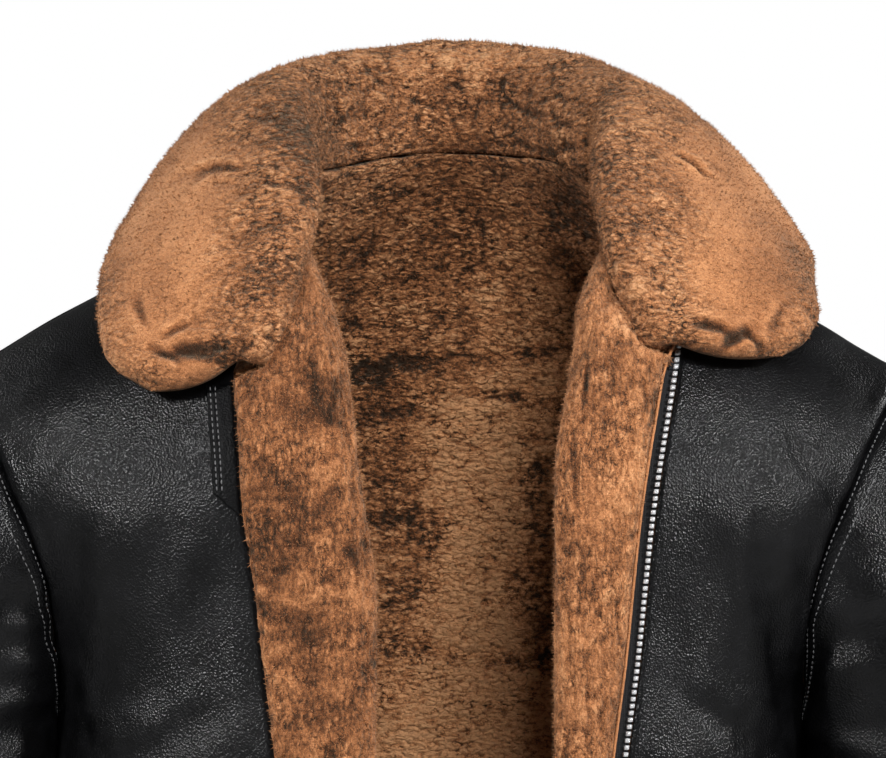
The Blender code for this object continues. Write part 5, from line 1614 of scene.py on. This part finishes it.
level = np.linspace(-0.1880, -0.1310, 60)
lines = []
for stitched in (0.0098, 0.0126):
    line = on_form(-(opening("right_edge", level) + stitched), level, np.full(len(level), -SEAM_GAP - 0.0021))
    lines.append((line, np.broadcast_to(np.array([-0.2, -1.0, 0.0]), line.shape)))
print("tab stitches:", add_stitches("stitches_tab", lines))

# %% [markdown]
# ## Standing fibres
# A few tens of thousands of small spikes stand on the wool. They break up its outline and catch the light
# one by one, as the ends of real locks do. Each spike is a three-sided point, closed at its foot, and all
# of them are worked out together from one array of places.

# %% Spikes on a grid
def spikes(name, grid, relief, count, length, width, lean, seed, away=None):
    """Spikes at random places of a grid, each cell's chance set by its area: a triangle foot and a tip that
    leans by a random part of the lean."""
    rng = np.random.default_rng(seed)
    normals = grid_normals(grid)
    if away is not None and np.mean(np.sum(normals * away, axis=-1)) < 0:
        normals = -normals
    side_a = grid[1:, :-1] - grid[:-1, :-1]
    side_b = grid[:-1, 1:] - grid[:-1, :-1]
    area = np.linalg.norm(np.cross(side_a, side_b), axis=-1) + 1e-12
    weight = np.cumsum(area.reshape(-1))
    cell = np.searchsorted(weight, rng.uniform(0, weight[-1], count))
    cell = np.minimum(cell, area.size - 1)
    r, c = np.divmod(cell, area.shape[1])
    u, v = rng.uniform(0, 1, (2, count))
    foot = grid[r, c] + side_a[r, c] * u[:, None] + side_b[r, c] * v[:, None]
    up = normals[r, c]
    loose = unit(rng.normal(size=(count, 3)))
    flow = soft_noise(foot, 0.018, seed)[:, None] * unit(np.cross(up, np.array([0.3, 0.2, 1.0])))
    tip_way = unit(up + lean * loose + 0.8 * lean * flow)
    tall = length * rng.uniform(0.55, 1.25, count)[:, None]
    across = unit(np.cross(tip_way, loose))
    third = np.cross(tip_way, across)
    wide = width * rng.uniform(0.7, 1.3, count)[:, None]
    base = foot - up * 0.0006
    corners = [base + wide * (cos(a) * across + sin(a) * third) for a in (0, 2 * pi / 3, 4 * pi / 3)]
    points = np.stack([*corners, foot + tip_way * tall], axis=1).reshape(-1, 3)
    first = 4 * np.arange(count)[:, None]
    faces = np.concatenate([first + np.array(f) for f in ((0, 1, 3), (1, 2, 3), (2, 0, 3), (0, 2, 1))])
    # each fibre takes the pile colour under it, painted shade and light included, a little darker at its foot and paler
    # at its tip
    low = np.clip(0.56 + 0.42 * relief[r, c], 0, 1)
    shade = low + rng.normal(0, 0.07, count)
    pile_shade = np.stack([shade - 0.06, shade - 0.06, shade - 0.06, shade + 0.14], axis=1).reshape(-1)
    stored = {"pile_shade": np.clip(pile_shade, 0, 1), "rough": np.full(len(pile_shade), 0.4)}
    made = add_piece(name, points, [faces], WOOL, stored, turn_out=False)
    return made


spikes("fibres_collar", *wool_grids["collar"], 40000, 0.0021, 0.00036, 0.80, 5, collar_out)
for side_name in SIDES:
    fine, relief = wool_grids["flap_" + side_name]
    part = slice(6, 58)
    normals = tube_normals(fine)
    spikes("fibres_flap_" + side_name, fine[:, part], relief[:, part], 14000, 0.0024, 0.00040, 0.75, 6,
           normals[:, part])
    fine, relief = wool_grids["roll_" + side_name]
    spikes("fibres_roll_" + side_name, fine, relief, 1200, 0.0022, 0.00040, 0.75, 8, tube_normals(fine))
fine, relief = wool_grids["back"]
into = -panel_normals(lining, "back", (0, -1))
middle = slice(24, -24)
spikes("fibres_back", fine[:, middle], relief[:, middle], 17000, 0.0024, 0.00040, 0.75, 7, into[:, middle])
print("fibres made")

# %% [markdown]
# ## Studio
# A pale floor below the hem, a pale world, and large soft lights: the brighter one high on the right.

# %% Floor, world, lights and camera
def add_light(name, place, aim, size, power):
    data = bpy.data.lights.new(name, "AREA")
    data.shape = "SQUARE"
    data.size = size
    data.energy = power
    made = bpy.data.objects.new(name, data)
    made.location = place
    made.rotation_euler = (Vector(aim) - Vector(place)).to_track_quat("-Z", "Y").to_euler()
    bpy.context.scene.collection.objects.link(made)
    return made


FLOOR_Z = -0.745
floor_points = np.array([(-40, -60, FLOOR_Z), (40, -60, FLOOR_Z), (40, 60, FLOOR_Z), (-40, 60, FLOOR_Z)], dtype=float)
floor_mesh = bpy.data.meshes.new("floor")
floor_mesh.from_pydata(floor_points.tolist(), [], [(0, 1, 2, 3)])
floor_finish = new_finish("pale_floor", (0.34, 0.34, 0.34), 0.95)[0]
floor_mesh.materials.append(floor_finish)
floor = bpy.data.objects.new("floor", floor_mesh)
bpy.context.scene.collection.objects.link(floor)

world = bpy.data.worlds.new("studio")
world.use_nodes = True
bpy.context.scene.world = world
sky = world.node_tree
soft = sky.nodes["Background"]
soft.inputs["Color"].default_value = (1.0, 1.0, 1.0, 1.0)
soft.inputs["Strength"].default_value = 0.055
seen_sky = sky.nodes.new("ShaderNodeBackground")
seen_sky.inputs["Color"].default_value = (1.0, 1.0, 1.0, 1.0)
seen_sky.inputs["Strength"].default_value = 1.0
choose = sky.nodes.new("ShaderNodeMixShader")
path = sky.nodes.new("ShaderNodeLightPath")
sky.links.new(path.outputs["Is Camera Ray"], choose.inputs[0])
sky.links.new(soft.outputs[0], choose.inputs[1])
sky.links.new(seen_sky.outputs[0], choose.inputs[2])
sky.links.new(choose.outputs[0], sky.nodes["World Output"].inputs["Surface"])

# far from the coat the floor glows to the camera as the sky does, so that no horizon shows
ground = floor_finish.node_tree
glow = ground.nodes.new("ShaderNodeEmission")
glow.inputs["Strength"].default_value = 1.0
reach = ground.nodes.new("ShaderNodeVectorMath")
reach.operation = "LENGTH"
ground.links.new(object_place(ground), reach.inputs[0])
far = maths(ground, "MINIMUM", maths(ground, "MAXIMUM", maths(ground, "MULTIPLY", maths(ground, "SUBTRACT", reach.outputs["Value"], 0.9), 0.5), 0.0), 1.0)
share = maths(ground, "ADD", maths(ground, "MULTIPLY", far, 0.26), 0.74)
seen = ground.nodes.new("ShaderNodeLightPath")
share = maths(ground, "MULTIPLY", seen.outputs["Is Camera Ray"], share)
both = ground.nodes.new("ShaderNodeMixShader")
ground.links.new(share, both.inputs[0])
ground.links.new(ground.nodes["Principled BSDF"].outputs[0], both.inputs[1])
ground.links.new(glow.outputs[0], both.inputs[2])
ground.links.new(both.outputs[0], ground.nodes["Material Output"].inputs["Surface"])

def add_spot(name, place, aim, radius, power, cone):
    """A narrow soft light for the shine of one chest."""
    data = bpy.data.lights.new(name, "SPOT")
    data.energy = power
    data.shadow_soft_size = radius
    data.spot_size = radians(cone)
    data.spot_blend = 1.0
    made = bpy.data.objects.new(name, data)
    made.location = place
    made.rotation_euler = (Vector(aim) - Vector(place)).to_track_quat("-Z", "Y").to_euler()
    bpy.context.scene.collection.objects.link(made)
    return made


AIM = (0.0, 0.0, -0.15)
add_spot("shine_right", (2.3, -1.60, 0.80), (0.162, -0.10, -0.178), 0.28, 430.0, 9.4)
add_spot("shine_left", (-2.05, -1.70, 0.80), (-0.168, -0.10, -0.175), 0.26, 390.0, 9.4)
# these three light the wool and leave the leather's shine to the narrow lights
for name, place, size, power in (("key", (2.4, -1.6, 0.85), 0.8, 30.0), ("fill", (-2.5, -1.3, 0.6), 0.9, 20.0),
                                 ("front", (0.6, -3.3, 1.35), 0.9, 108.0)):
    add_light(name, place, AIM, size, power).visible_glossy = False
add_light("rim_left", (-2.0, 2.0, 0.35), AIM, 1.2, 24.0)
add_light("rim_right", (2.0, 2.0, 0.35), AIM, 1.2, 24.0)

PIXEL = 0.00055
IMAGE = (886, 758)
MIDDLE = (443 - 450, 150 - 379)
DISTANCE = 14.0
FRONT_PLANE = 0.10
camera_data = bpy.data.cameras.new("camera")
camera_data.sensor_width = 36.0
camera_data.lens = camera_data.sensor_width * (DISTANCE - FRONT_PLANE) / (IMAGE[0] * PIXEL)
camera_data.clip_end = 100.0
camera = bpy.data.objects.new("camera", camera_data)
camera.location = (MIDDLE[0] * PIXEL, -DISTANCE, MIDDLE[1] * PIXEL)
camera.rotation_euler = (pi / 2, 0.0, 0.0)
bpy.context.scene.collection.objects.link(camera)
bpy.context.scene.camera = camera
bpy.context.scene.view_settings.view_transform = "Standard"
print("lens:", round(camera_data.lens), "mm")
